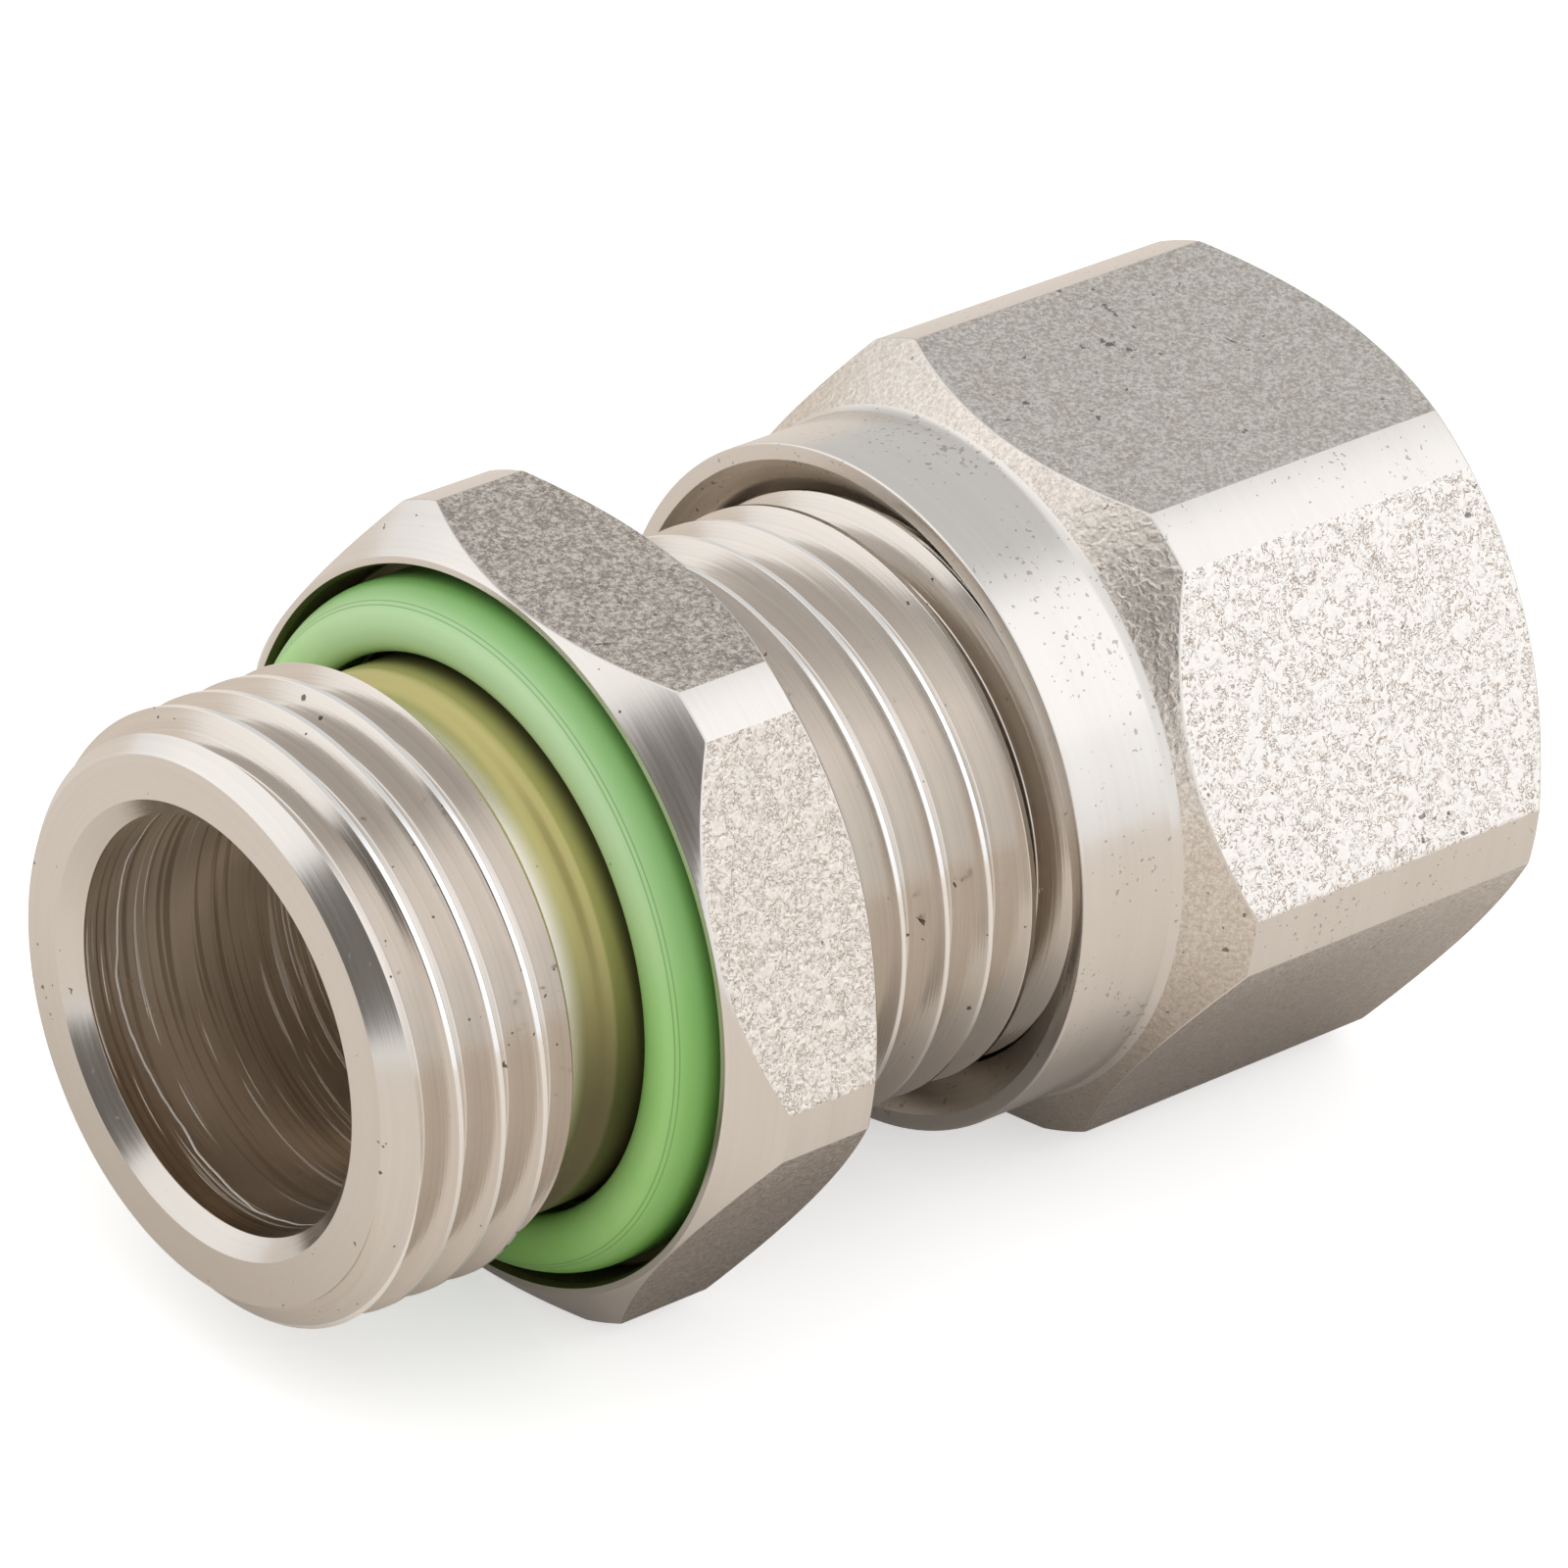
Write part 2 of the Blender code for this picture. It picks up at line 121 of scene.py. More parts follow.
def make_tent():
    world = bpy.data.worlds.new("light_tent")
    bpy.context.scene.world = world
    world.use_nodes = True
    tree = world.node_tree
    tree.nodes.clear()
    towards = node(tree, "ShaderNodeTexCoord").outputs["Generated"]
    height = node(tree, "ShaderNodeSeparateXYZ", {0: towards}).outputs["Z"]
    rays = node(tree, "ShaderNodeLightPath").outputs
    mirrored = calc(tree, "MAXIMUM", rays["Is Glossy Ray"], rays["Is Transmission Ray"])
    seen = calc(tree, "MAXIMUM", rays["Is Camera Ray"], mirrored)
    cloth = blend_colours(tree, fade(tree, height, 0.0, 0.75), TENT_HORIZON, TENT_TOP)
    colour = blend_colours(tree, seen, cloth, WHITE)
    off_camera = calc(tree, "SUBTRACT", 1.0, rays["Is Camera Ray"])
    for name, azimuth, elevation, full, fading, shade in TENT_PATCHES:
        middle = direction(azimuth, elevation)
        near = node(tree, "ShaderNodeVectorMath", {0: towards, 1: middle}, operation="DOT_PRODUCT")
        near.name = name
        mask = fade(
            tree, near.outputs["Value"], math.cos(math.radians(fading)), math.cos(math.radians(full)),
        )
        colour = blend_colours(tree, calc(tree, "MULTIPLY", mask, off_camera), colour, shade)
    shader = node(tree, "ShaderNodeBackground", {"Color": colour, "Strength": 1.0})
    node(tree, "ShaderNodeOutputWorld", {"Surface": shader.outputs[0]})


def make_floor():
    bpy.ops.mesh.primitive_plane_add(size=FLOOR_SIZE, location=(0, 0, -0.01 * MM))
    floor = bpy.context.object
    floor.name = "floor"
    material = bpy.data.materials.new("white_table")
    material.use_nodes = True
    tree = material.node_tree
    tree.nodes.clear()
    paper = node(tree, "ShaderNodeBsdfDiffuse", {"Color": (0.9, 0.9, 0.9, 1.0)})
    glow = node(tree, "ShaderNodeEmission", {"Color": WHITE, "Strength": FLOOR_GLOW})
    seen = node(tree, "ShaderNodeAddShader", {0: paper.outputs[0], 1: glow.outputs[0]})
    place = node(tree, "ShaderNodeTexCoord").outputs["Object"]
    middle = {0: place, 1: FOOTPRINT_MIDDLE}
    centred = node(tree, "ShaderNodeVectorMath", middle, operation="SUBTRACT").outputs[0]
    footprint = {0: centred, 1: (1 / FOOTPRINT[0], 1 / FOOTPRINT[1], 0.0)}
    scaled = node(tree, "ShaderNodeVectorMath", footprint, operation="MULTIPLY").outputs[0]
    away = node(tree, "ShaderNodeVectorMath", {0: scaled}, operation="LENGTH").outputs["Value"]
    # Painted shadow: for all but camera rays, the floor darkens towards the coupling's footprint.
    shade = blend_colours(tree, fade(tree, away, 0.9, 1.7), PAINTED_FLOOR_SHADOW, FLOOR_COLOUR)
    mirrored = node(tree, "ShaderNodeBsdfDiffuse", {"Color": shade})
    rays = node(tree, "ShaderNodeLightPath").outputs
    glossy = calc(tree, "MAXIMUM", rays["Is Glossy Ray"], rays["Is Transmission Ray"])
    whitened = calc(tree, "MULTIPLY", glossy, WHITE_FLOOR_IN_METAL)
    share = calc(tree, "MAXIMUM", rays["Is Camera Ray"], whitened)
    mixed = node(tree, "ShaderNodeMixShader", {0: share, 1: mirrored.outputs[0], 2: seen.outputs[0]})
    node(tree, "ShaderNodeOutputMaterial", {"Surface": mixed.outputs[0]})
    floor.data.materials.append(material)


def make_lamp():
    data = bpy.data.lights.new("soft_box", "AREA")
    data.shape = "SQUARE"
    data.size = LAMP_SIZE
    data.energy = LAMP_RADIANCE * math.pi * LAMP_SIZE ** 2
    data.color = (1.0, 1.0, 1.0)
    lamp = bpy.data.objects.new("soft_box", data)
    bpy.context.scene.collection.objects.link(lamp)
    away = direction(*LAMP_DIRECTION)
    lamp.location = CAMERA_TARGET + away * LAMP_DISTANCE
    lamp.rotation_euler = away.to_track_quat("Z", "Y").to_euler()


def make_camera():
    """The camera looks along its azimuth from +X, down by its elevation, turned by the roll."""
    data = bpy.data.cameras.new("camera")
    data.lens = CAMERA_LENS
    data.sensor_width = 36.0
    data.clip_end = 10.0
    camera = bpy.data.objects.new("camera", data)
    bpy.context.scene.collection.objects.link(camera)
    back = -direction(CAMERA_AZIMUTH, -CAMERA_ELEVATION)
    level_right = Vector((0, 0, 1)).cross(back).normalized()
    level_up = back.cross(level_right)
    roll = math.radians(CAMERA_ROLL)
    right = level_right * math.cos(roll) + level_up * math.sin(roll)
    up = back.cross(right)
    turn = Matrix((right, up, back)).transposed()
    camera.matrix_world = Matrix.Translation(CAMERA_TARGET + back * CAMERA_DISTANCE) @ turn.to_4x4()
    bpy.context.scene.camera = camera


make_tent()
make_floor()
make_lamp()
make_camera()
bpy.context.scene.view_settings.view_transform = "Standard"


# Stud body: one piece of stainless bar, turned from end to end and bored through. The tool left
# fine lines round the axis, the hexagon's flats keep the coarse skin of the drawn bar, the neck is
# golden with oil, and the bore is brown with it. Painted shade darkens the neck towards the seal
# ring, and the bore and the undersides low down. The stud thread is 14 to the inch, the tube thread 2 mm.
AXIS_Z = (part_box("stud_body")[0].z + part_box("stud_body")[1].z) / 2
NOSE_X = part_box("stud_body")[0].x
SEAL_FACE_X = 12.05 * MM
HEX_REAR_X = 18.9 * MM
BODY_END_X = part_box("stud_body")[1].x - NOSE_X
HEX_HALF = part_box("stud_body")[1].z - AXIS_Z
BODY_CORNER_R = 15.05 * MM
BODY_FRONT_CHAMFER = 45.0
BODY_REAR_CHAMFER = 38.0
BODY_REAR_CHAMFER_RISE = 1.75 * MM
EDGE_BREAK = 0.05 * MM
CORNER_BLEND = 0.03 * MM
WRINKLED_FLATS = 150.0
FLAT_COLUMNS = 34
STRIP_COLUMNS = 8
NOSE_R = 9.9 * MM
STUD_CREST_R = 11.05 * MM
STUD_ROOT_R = 9.92 * MM
STUD_CREST_WIDTH = 0.24 * MM
STUD_FLANK_ANGLE = 27.5
STUD_PITCH = 1.814 * MM
STUD_GROOVE_X = 0.763 * MM
STUD_THREAD_END_X = 7.25 * MM
TUBE_CREST_R = 10.9 * MM
TUBE_ROOT_R = 9.7 * MM
TUBE_CREST_WIDTH = 0.22 * MM
TUBE_FLANK_ANGLE = 30.0
TUBE_PITCH = 2.0 * MM
TUBE_GROOVE_X = HEX_REAR_X + 1.46 * MM
TUBE_RELIEF_R = 10.2 * MM
TUBE_RELIEF_WIDTH = 0.75 * MM
TUBE_RELIEF_RISE_ANGLE = 60.0
TUBE_END_CHAMFER = 1.3 * MM
CONE_MOUTH_R = 8.55 * MM
CONE_MOUTH_BREAK = 0.2 * MM
CONE_DEPTH = 4.9 * MM
SOCKET_R = 7.55 * MM
SOCKET_DEPTH = 10.0 * MM
FLOW_BORE_R = 6.0 * MM
RIM_OUTER_R = 13.45 * MM
RECESS_R = 13.1 * MM
RECESS_FLOOR_X = SEAL_FACE_X + 2.3 * MM
RIM_EDGE_BREAK = 0.3 * MM
RIM_FLARE = 0.1 * MM
NECK_R = 10.0 * MM
NECK_X = 9.95 * MM
RELIEF_R = 9.45 * MM
RELIEF_X = 7.8 * MM
RELIEF_END_X = 9.55 * MM
BORE_R = 7.6 * MM
BORE_DEPTH = 12.0 * MM
BORE_CHAMFER = 0.7 * MM
DRILL_POINT_HALF_ANGLE = 59.0
BORE_BURR_X = 2.1 * MM
THREAD_STEPS = 180
FLAT_HALF_ANGLE = math.acos(HEX_HALF / BODY_CORNER_R)
STEEL = (0.79, 0.76, 0.725, 1.0)
# Darker steel, for the tool marks' lines and for painted shade on the turned undersides.
TOOL_MARK_AND_SHADE_STEEL = (0.50, 0.45, 0.40, 1.0)
BRIGHT_STEEL_AND_HIGHLIGHT = (0.93, 0.92, 0.90, 1.0)
WARM_STEEL = (0.87, 0.82, 0.76, 1.0)
GREY_STEEL = (0.84, 0.78, 0.71, 1.0)
THREAD_STEEL = (0.78, 0.735, 0.685, 1.0)
WRINKLE_DIRT_AND_SHADE = (0.46, 0.38, 0.31, 1.0)
GRAIN_DIRT_AND_SHADE = (0.27, 0.23, 0.20, 1.0)
GOLDEN_STEEL = (0.54, 0.49, 0.19, 1.0)
PAINTED_SHADE_BROWN = (0.10, 0.09, 0.04, 1.0)
BORE_STEEL = (0.90, 0.80, 0.67, 1.0)
OILY_AND_SHADED_STEEL = (0.36, 0.30, 0.24, 1.0)
PIT_COLOUR = (0.07, 0.06, 0.05, 1.0)


def new_group(name, inputs, outputs):
    """Empty shader node group with float inputs that have defaults, and its input and output nodes."""
    group = bpy.data.node_groups.new(name, "ShaderNodeTree")
    for label, default in inputs.items():
        socket = group.interface.new_socket(label, in_out="INPUT", socket_type="NodeSocketFloat")
        socket.default_value = default
    for label, kind in outputs.items():
        group.interface.new_socket(label, in_out="OUTPUT", socket_type=kind)
    return group, group.nodes.new("NodeGroupInput"), group.nodes.new("NodeGroupOutput")


def finish_group(group, output, **results):
    for label, socket in results.items():
        group.links.new(socket, output.inputs[label.replace("_", " ")])
    return group


def make_axis_place():
    """Distance from the nose along the axis, radius, and position across the axis."""
    group, _, output = new_group("axis_place", {}, {
        "Along": "NodeSocketFloat", "Radius": "NodeSocketFloat",
        "Side": "NodeSocketFloat", "Up": "NodeSocketFloat",
    })
    place = node(group, "ShaderNodeTexCoord").outputs["Object"]
    corner = {0: place, 1: (NOSE_X, 0, AXIS_Z)}
    centred = node(group, "ShaderNodeVectorMath", corner, operation="SUBTRACT").outputs[0]
    split = node(group, "ShaderNodeSeparateXYZ", {0: centred}).outputs
    across = node(group, "ShaderNodeCombineXYZ", {1: split["Y"], 2: split["Z"]}).outputs[0]
    radius = node(group, "ShaderNodeVectorMath", {0: across}, operation="LENGTH").outputs["Value"]
    return finish_group(group, output, Along=split["X"], Radius=radius, Side=split["Y"], Up=split["Z"])


AXIS_PLACE = make_axis_place()


def use_group(tree, group, **values):
    made = node(tree, "ShaderNodeGroup", node_tree=group)
    for label, value in values.items():
        made.inputs[label].default_value = value
    return made.outputs


def make_tool_marks():
    """Lines round the axis: so many to a metre along the axis and along the radius.

    Wide lines lie under the fine ones, and none runs quite true round the axis.
    """
    slant = 0.7
    wide_scale = (0.17, 0.17, 0.35)
    wide_share = 0.8
    mean_height = 0.9
    contrast = 1.3
    group, given, output = new_group(
        "tool_marks", {"Axial": 9000.0, "Radial": 9000.0, "Length": 90.0, "Detail": 3.0},
        {"Height": "NodeSocketFloat", "Shade": "NodeSocketFloat"},
    )
    place = use_group(group, AXIS_PLACE)
    slanted = calc(group, "MULTIPLY_ADD", place["Up"], slant, place["Side"])
    vector = node(group, "ShaderNodeCombineXYZ", {
        0: calc(group, "MULTIPLY", place["Along"], given.outputs["Axial"]),
        1: calc(group, "MULTIPLY", place["Radius"], given.outputs["Radial"]),
        2: calc(group, "MULTIPLY", slanted, given.outputs["Length"]),
    }).outputs[0]
    fine = node(group, "ShaderNodeTexNoise", {
        "Vector": vector, "Scale": 1.0, "Detail": given.outputs["Detail"], "Roughness": 0.6,
    }).outputs["Fac"]
    shrunk = {0: vector, 1: wide_scale}
    wide_vector = node(group, "ShaderNodeVectorMath", shrunk, operation="MULTIPLY").outputs[0]
    wide = node(group, "ShaderNodeTexNoise", {
        "Vector": wide_vector, "Scale": 1.0, "Detail": 2.0,
    }).outputs["Fac"]
    height = calc(group, "ADD", fine, calc(group, "MULTIPLY", wide, wide_share))
    shade = calc(group, "MULTIPLY_ADD", calc(group, "SUBTRACT", height, mean_height), contrast, 0.5)
    return finish_group(group, output, Height=height, Shade=shade)


def make_pits():
    """Small sunken specks, rarer with a higher rarity and gathered in clouds."""
    clouding = 0.35
    soft_edge = 0.03
    group, given, output = new_group(
        "pits", {"Scale": 2600.0, "Rarity": 0.72, "Spread": 260.0},
        {"Mask": "NodeSocketFloat"},
    )
    place = node(group, "ShaderNodeTexCoord").outputs["Object"]
    grain = node(group, "ShaderNodeTexNoise", {
        "Vector": place, "Scale": given.outputs["Scale"], "Detail": 2.0, "Roughness": 0.55,
    }).outputs["Fac"]
    spread = {"Vector": place, "Scale": given.outputs["Spread"]}
    cloud = calc(group, "SUBTRACT", node(group, "ShaderNodeTexNoise", spread).outputs["Fac"], 0.5)
    lifted = calc(group, "ADD", grain, calc(group, "MULTIPLY", cloud, clouding))
    edge = calc(group, "ADD", given.outputs["Rarity"], soft_edge)
    return finish_group(group, output, Mask=fade(group, lifted, given.outputs["Rarity"], edge))


def make_bar_skin():
    """Skin of a drawn bar: rounded cells, short sunken wrinkles among them, and fine grain."""
    wrinkle_offset = (0.7, 0.3, 0.5)
    wrinkle_scale = 1.6
    wrinkle_level = 0.47
    wrinkle_core = 0.008
    wrinkle_edge = 0.045
    grain_scale = 2.1
    grain_range = 0.14
    group, given, output = new_group(
        "bar_skin", {"Scale": 2600.0, "Wrinkles": 0.5, "Grain": 0.25},
        {"Height": "NodeSocketFloat", "Hollow": "NodeSocketFloat", "Grain": "NodeSocketFloat"},
    )
    place = node(group, "ShaderNodeTexCoord").outputs["Object"]
    cells = node(group, "ShaderNodeTexNoise", {
        "Vector": place, "Scale": given.outputs["Scale"],
        "Detail": 1.0, "Roughness": 0.45, "Distortion": 0.9,
    }).outputs["Fac"]
    offset = {0: place, 1: wrinkle_offset}
    shifted = node(group, "ShaderNodeVectorMath", offset, operation="ADD").outputs[0]
    bends = node(group, "ShaderNodeTexNoise", {
        "Vector": shifted, "Scale": calc(group, "MULTIPLY", given.outputs["Scale"], wrinkle_scale),
        "Detail": 1.0, "Distortion": 1.4,
    }).outputs["Fac"]
    off_line = calc(group, "ABSOLUTE", calc(group, "SUBTRACT", bends, wrinkle_level))
    line = calc(group, "SUBTRACT", 1.0, fade(group, off_line, wrinkle_core, wrinkle_edge))
    broken = fade(group, cells, 0.62, 0.45)
    wrinkle = calc(group, "MULTIPLY", line, broken)
    fine = node(group, "ShaderNodeTexNoise", {
        "Vector": place, "Scale": calc(group, "MULTIPLY", given.outputs["Scale"], grain_scale),
        "Detail": 3.0, "Roughness": 0.75,
    }).outputs["Fac"]
    grain = calc(group, "SUBTRACT", fine, 0.5)
    height = calc(group, "SUBTRACT", cells, calc(group, "MULTIPLY", wrinkle, given.outputs["Wrinkles"]))
    height = calc(group, "MULTIPLY_ADD", grain, given.outputs["Grain"], height)
    shown_grain = fade(group, grain, -grain_range, grain_range)
    return finish_group(group, output, Height=height, Hollow=wrinkle, Grain=shown_grain)


TOOL_MARKS = make_tool_marks()
PITS = make_pits()
BAR_SKIN = make_bar_skin()


def start_material(name):
    material = bpy.data.materials.new(name)
    material.use_nodes = True
    return material, material.node_tree, material.node_tree.nodes["Principled BSDF"]


def connect(tree, shader, colour, roughness, height, depth):
    """Wires colour, roughness and a bump of the given depth in metres to the shader."""
    tree.links.new(colour, shader.inputs["Base Color"])
    tree.links.new(roughness, shader.inputs["Roughness"])
    bump = node(tree, "ShaderNodeBump", {"Height": height, "Strength": 1.0, "Distance": depth})
    tree.links.new(bump.outputs["Normal"], shader.inputs["Normal"])


def between(tree, value, low, high, soft):
    """1 while the value lies between two limits, falling to 0 over the soft width outside them."""
    rising = fade(tree, value, low - soft, low)
    falling = fade(tree, value, high + soft, high)
    return calc(tree, "MULTIPLY", rising, falling)


def turned_finish(
    tree, axial, radial, roughness, shade, rarity, tint, spread=260.0, scale=2600.0, pit=0.85,
):
    """Colour, roughness and height of a turned surface, with painted shade on its underside."""
    marks = use_group(tree, TOOL_MARKS, Axial=axial, Radial=radial)
    pits = use_group(tree, PITS, Rarity=rarity, Spread=spread, Scale=scale)
    dull = calc(tree, "MULTIPLY", calc(tree, "SUBTRACT", 1.0, marks["Shade"]), shade)
    colour = blend_colours(tree, dull, tint, TOOL_MARK_AND_SHADE_STEEL)
    colour = blend_colours(tree, calc(tree, "MULTIPLY", pits["Mask"], pit), colour, PIT_COLOUR)
    # Painted shade: the underside is darkened towards the darker steel.
    painted_underside_shade = fade(tree, use_group(tree, AXIS_PLACE)["Up"], 0.0, -9.0 * MM)
    colour = blend_colours(tree, calc(tree, "MULTIPLY", painted_underside_shade, 0.35), colour, TOOL_MARK_AND_SHADE_STEEL)
    rough = calc(tree, "MULTIPLY_ADD", marks["Shade"], 0.08, roughness - 0.04)
    height = calc(tree, "SUBTRACT", marks["Height"], calc(tree, "MULTIPLY", pits["Mask"], 3.0))
    return colour, rough, height


def turned_steel(name, axial, radial, depth, roughness, shade=0.25, rarity=0.74, tint=STEEL, **pits):
    material, tree, shader = start_material(name)
    shader.inputs["Metallic"].default_value = 1.0
    connect(tree, shader, *turned_finish(tree, axial, radial, roughness, shade, rarity, tint, **pits), depth)
    return material


def make_crested_steel():
    """Turned steel whose thread crests are burnished and lightened as a painted highlight, with torn black
    burrs on the stud's last turn.
    """
    material, tree, shader = start_material("turned_steel")
    shader.inputs["Metallic"].default_value = 1.0
    colour, rough, height = turned_finish(tree, 7000.0, 7000.0, 0.2, 0.22, 0.74, STEEL)
    place = use_group(tree, AXIS_PLACE)
    crest = between(tree, place["Radius"], TUBE_CREST_R - 0.04 * MM, STUD_CREST_R + 0.02 * MM, 0.02 * MM)
    # Painted highlight: the crests' colour is lifted towards bright steel; the lower roughness is their
    # burnish.
    colour = blend_colours(tree, crest, colour, BRIGHT_STEEL_AND_HIGHLIGHT)
    rough = calc(tree, "SUBTRACT", rough, calc(tree, "MULTIPLY", crest, 0.06))
    last_turn = between(tree, place["Along"], STUD_THREAD_END_X - 0.9 * MM, RELIEF_X, 0.05 * MM)
    torn = use_group(tree, PITS, Scale=1900.0, Rarity=0.57, Spread=500.0)["Mask"]
    burr = calc(tree, "MULTIPLY", calc(tree, "MULTIPLY", last_turn, torn), fade(
        tree, place["Radius"], STUD_CREST_R - 0.2 * MM, STUD_CREST_R - 0.05 * MM,
    ))
    colour = blend_colours(tree, burr, colour, PIT_COLOUR)
    connect(tree, shader, colour, rough, height, 0.002 * MM)
    return material


def make_neck_steel():
    """Relief groove, neck and recess: turned, golden with oil towards the seal, and darkened with painted
    shade nearer the seal and on the lower side.
    """
    material, tree, shader = start_material("neck_steel")
    colour, rough, height = turned_finish(tree, 6000.0, 6000.0, 0.2, 0.3, 0.76, STEEL)
    place = use_group(tree, AXIS_PLACE)
    along = place["Along"]
    golden = fade(tree, along, RELIEF_X + 0.4 * MM, RELIEF_X + 1.7 * MM)
    colour = blend_colours(tree, golden, colour, GOLDEN_STEEL)
    # Painted shade: the neck darkens towards the seal ring and on its lower side.
    brown = fade(tree, along, RELIEF_X + 2.5 * MM, RELIEF_X + 3.4 * MM)
    low = calc(tree, "MULTIPLY", fade(tree, place["Up"], 8.5 * MM, -1.0 * MM), golden)
    brown = calc(tree, "MAXIMUM", calc(tree, "MULTIPLY", brown, 0.85), calc(tree, "MULTIPLY", low, 0.92))
    colour = blend_colours(tree, brown, colour, PAINTED_SHADE_BROWN)
    rough = calc(tree, "MULTIPLY_ADD", golden, 0.15, rough)
    tree.links.new(calc(tree, "MULTIPLY_ADD", golden, -0.55, 1.0), shader.inputs["Metallic"])
    connect(tree, shader, colour, rough, height, 0.002 * MM)
    return material


def make_bore_steel():
    """Bored wall: a brown film of oil, scores round the axis, a thin torn burr near its mouth, and painted
    shade low down.
    """
    material, tree, shader = start_material("bored_steel")
    place = use_group(tree, AXIS_PLACE)
    colour, rough, height = turned_finish(tree, 5200.0, 3000.0, 0.24, 0.35, 0.78, BORE_STEEL)
    near = fade(tree, place["Along"], 3.5 * MM, 1.0 * MM)
    # Painted shade: low down, the wall is darkened towards the dark oil colour, and its film is thinned
    # there.
    low = fade(tree, place["Up"], -1.0 * MM, -7.0 * MM)
    colour = blend_colours(tree, calc(tree, "MULTIPLY", low, 0.6), colour, OILY_AND_SHADED_STEEL)
    score = use_group(tree, TOOL_MARKS, Axial=6500.0, Radial=900.0, Length=110.0, Detail=1.0)["Shade"]
    dark = calc(tree, "MULTIPLY", fade(tree, score, 0.42, 0.22), 0.75)
    colour = blend_colours(tree, dark, colour, OILY_AND_SHADED_STEEL)
    bright = calc(tree, "MULTIPLY", fade(tree, score, 0.66, 0.78), 0.9)
    colour = blend_colours(tree, bright, colour, BRIGHT_STEEL_AND_HIGHLIGHT)
    height = calc(tree, "MULTIPLY_ADD", bright, 3.0, height)
    around = node(tree, "ShaderNodeCombineXYZ", {1: place["Side"], 2: place["Up"]}).outputs[0]
    swaying = {"Vector": around, "Scale": 210.0, "Detail": 3.0}
    sway = calc(tree, "SUBTRACT", node(tree, "ShaderNodeTexNoise", swaying).outputs["Fac"], 0.5)
    line_x = calc(tree, "MULTIPLY_ADD", sway, 1.0 * MM, BORE_BURR_X)
    off_line = calc(tree, "ABSOLUTE", calc(tree, "SUBTRACT", place["Along"], line_x))
    burr = fade(tree, off_line, 0.06 * MM, 0.03 * MM)
    colour = blend_colours(tree, burr, colour, BRIGHT_STEEL_AND_HIGHLIGHT)
    film = calc(tree, "MULTIPLY_ADD", near, -0.2, 0.42)
    film = calc(tree, "MULTIPLY_ADD", low, -0.25, film)
    film = calc(tree, "MULTIPLY_ADD", bright, 0.15, film)
    pale = calc(tree, "MAXIMUM", calc(tree, "MULTIPLY", burr, 0.7), film)
    tree.links.new(calc(tree, "SUBTRACT", 1.0, pale), shader.inputs["Metallic"])
    height = calc(tree, "MULTIPLY_ADD", burr, 6.0, height)
    connect(tree, shader, colour, rough, height, 0.004 * MM)
    return material


def bar_steel(name, scale, depth, roughness, hollow, speckle, rarity, tint, dirt_and_shade, wrinkles=0.5, grain=0.25):
    """Skin of a drawn bar in a lighter tint: its hollows take the dirt_and_shade colour as grime, and its
    underside takes it as painted shade.
    """
    material, tree, shader = start_material(name)
    shader.inputs["Metallic"].default_value = 1.0
    skin = use_group(tree, BAR_SKIN, Scale=scale, Wrinkles=wrinkles, Grain=grain)
    pits = use_group(tree, PITS, Rarity=rarity, Scale=scale * 0.8, Spread=190.0)
    colour = blend_colours(tree, calc(tree, "MULTIPLY", skin["Hollow"], hollow), tint, dirt_and_shade)
    speck = calc(tree, "MULTIPLY", calc(tree, "SUBTRACT", 1.0, skin["Grain"]), speckle)
    colour = blend_colours(tree, speck, colour, dirt_and_shade)
    # Painted shade: the lower part of the skin is darkened towards dirt_and_shade.
    painted_underside_shade = fade(tree, use_group(tree, AXIS_PLACE)["Up"], 1.5 * MM, -5.0 * MM)
    colour = blend_colours(tree, calc(tree, "MULTIPLY", painted_underside_shade, 0.5), colour, dirt_and_shade)
    colour = blend_colours(tree, calc(tree, "MULTIPLY", pits["Mask"], 0.7), colour, PIT_COLOUR)
    rough = calc(tree, "MULTIPLY_ADD", skin["Hollow"], 0.15, roughness)
    height = calc(tree, "SUBTRACT", skin["Height"], calc(tree, "MULTIPLY", pits["Mask"], 0.4))
    connect(tree, shader, colour, rough, height, depth)
    return material


TURNED = make_crested_steel()
THREAD = turned_steel(
    "thread_steel", 0.0, 11000.0, 0.004 * MM, 0.16, shade=0.45, tint=THREAD_STEEL,
)
NECK = make_neck_steel()
BORE = make_bore_steel()
WRINKLED_BAR = bar_steel(
    "wrinkled_bar_steel", 3000.0, 0.07 * MM, 0.30, 0.6, 0.3, 0.76, WARM_STEEL, WRINKLE_DIRT_AND_SHADE,
    wrinkles=0.4, grain=0.2,
)
GRAINED_BAR = bar_steel(
    "grained_bar_steel", 2600.0, 0.05 * MM, 0.34, 0.8, 0.85, 0.70, GREY_STEEL, GRAIN_DIRT_AND_SHADE,
    wrinkles=0.2, grain=0.45,
)


def slope(rise, degrees):
    """Run along the axis of a cone that rises by this radius at this angle to the axis."""
    return rise / math.tan(math.radians(degrees))


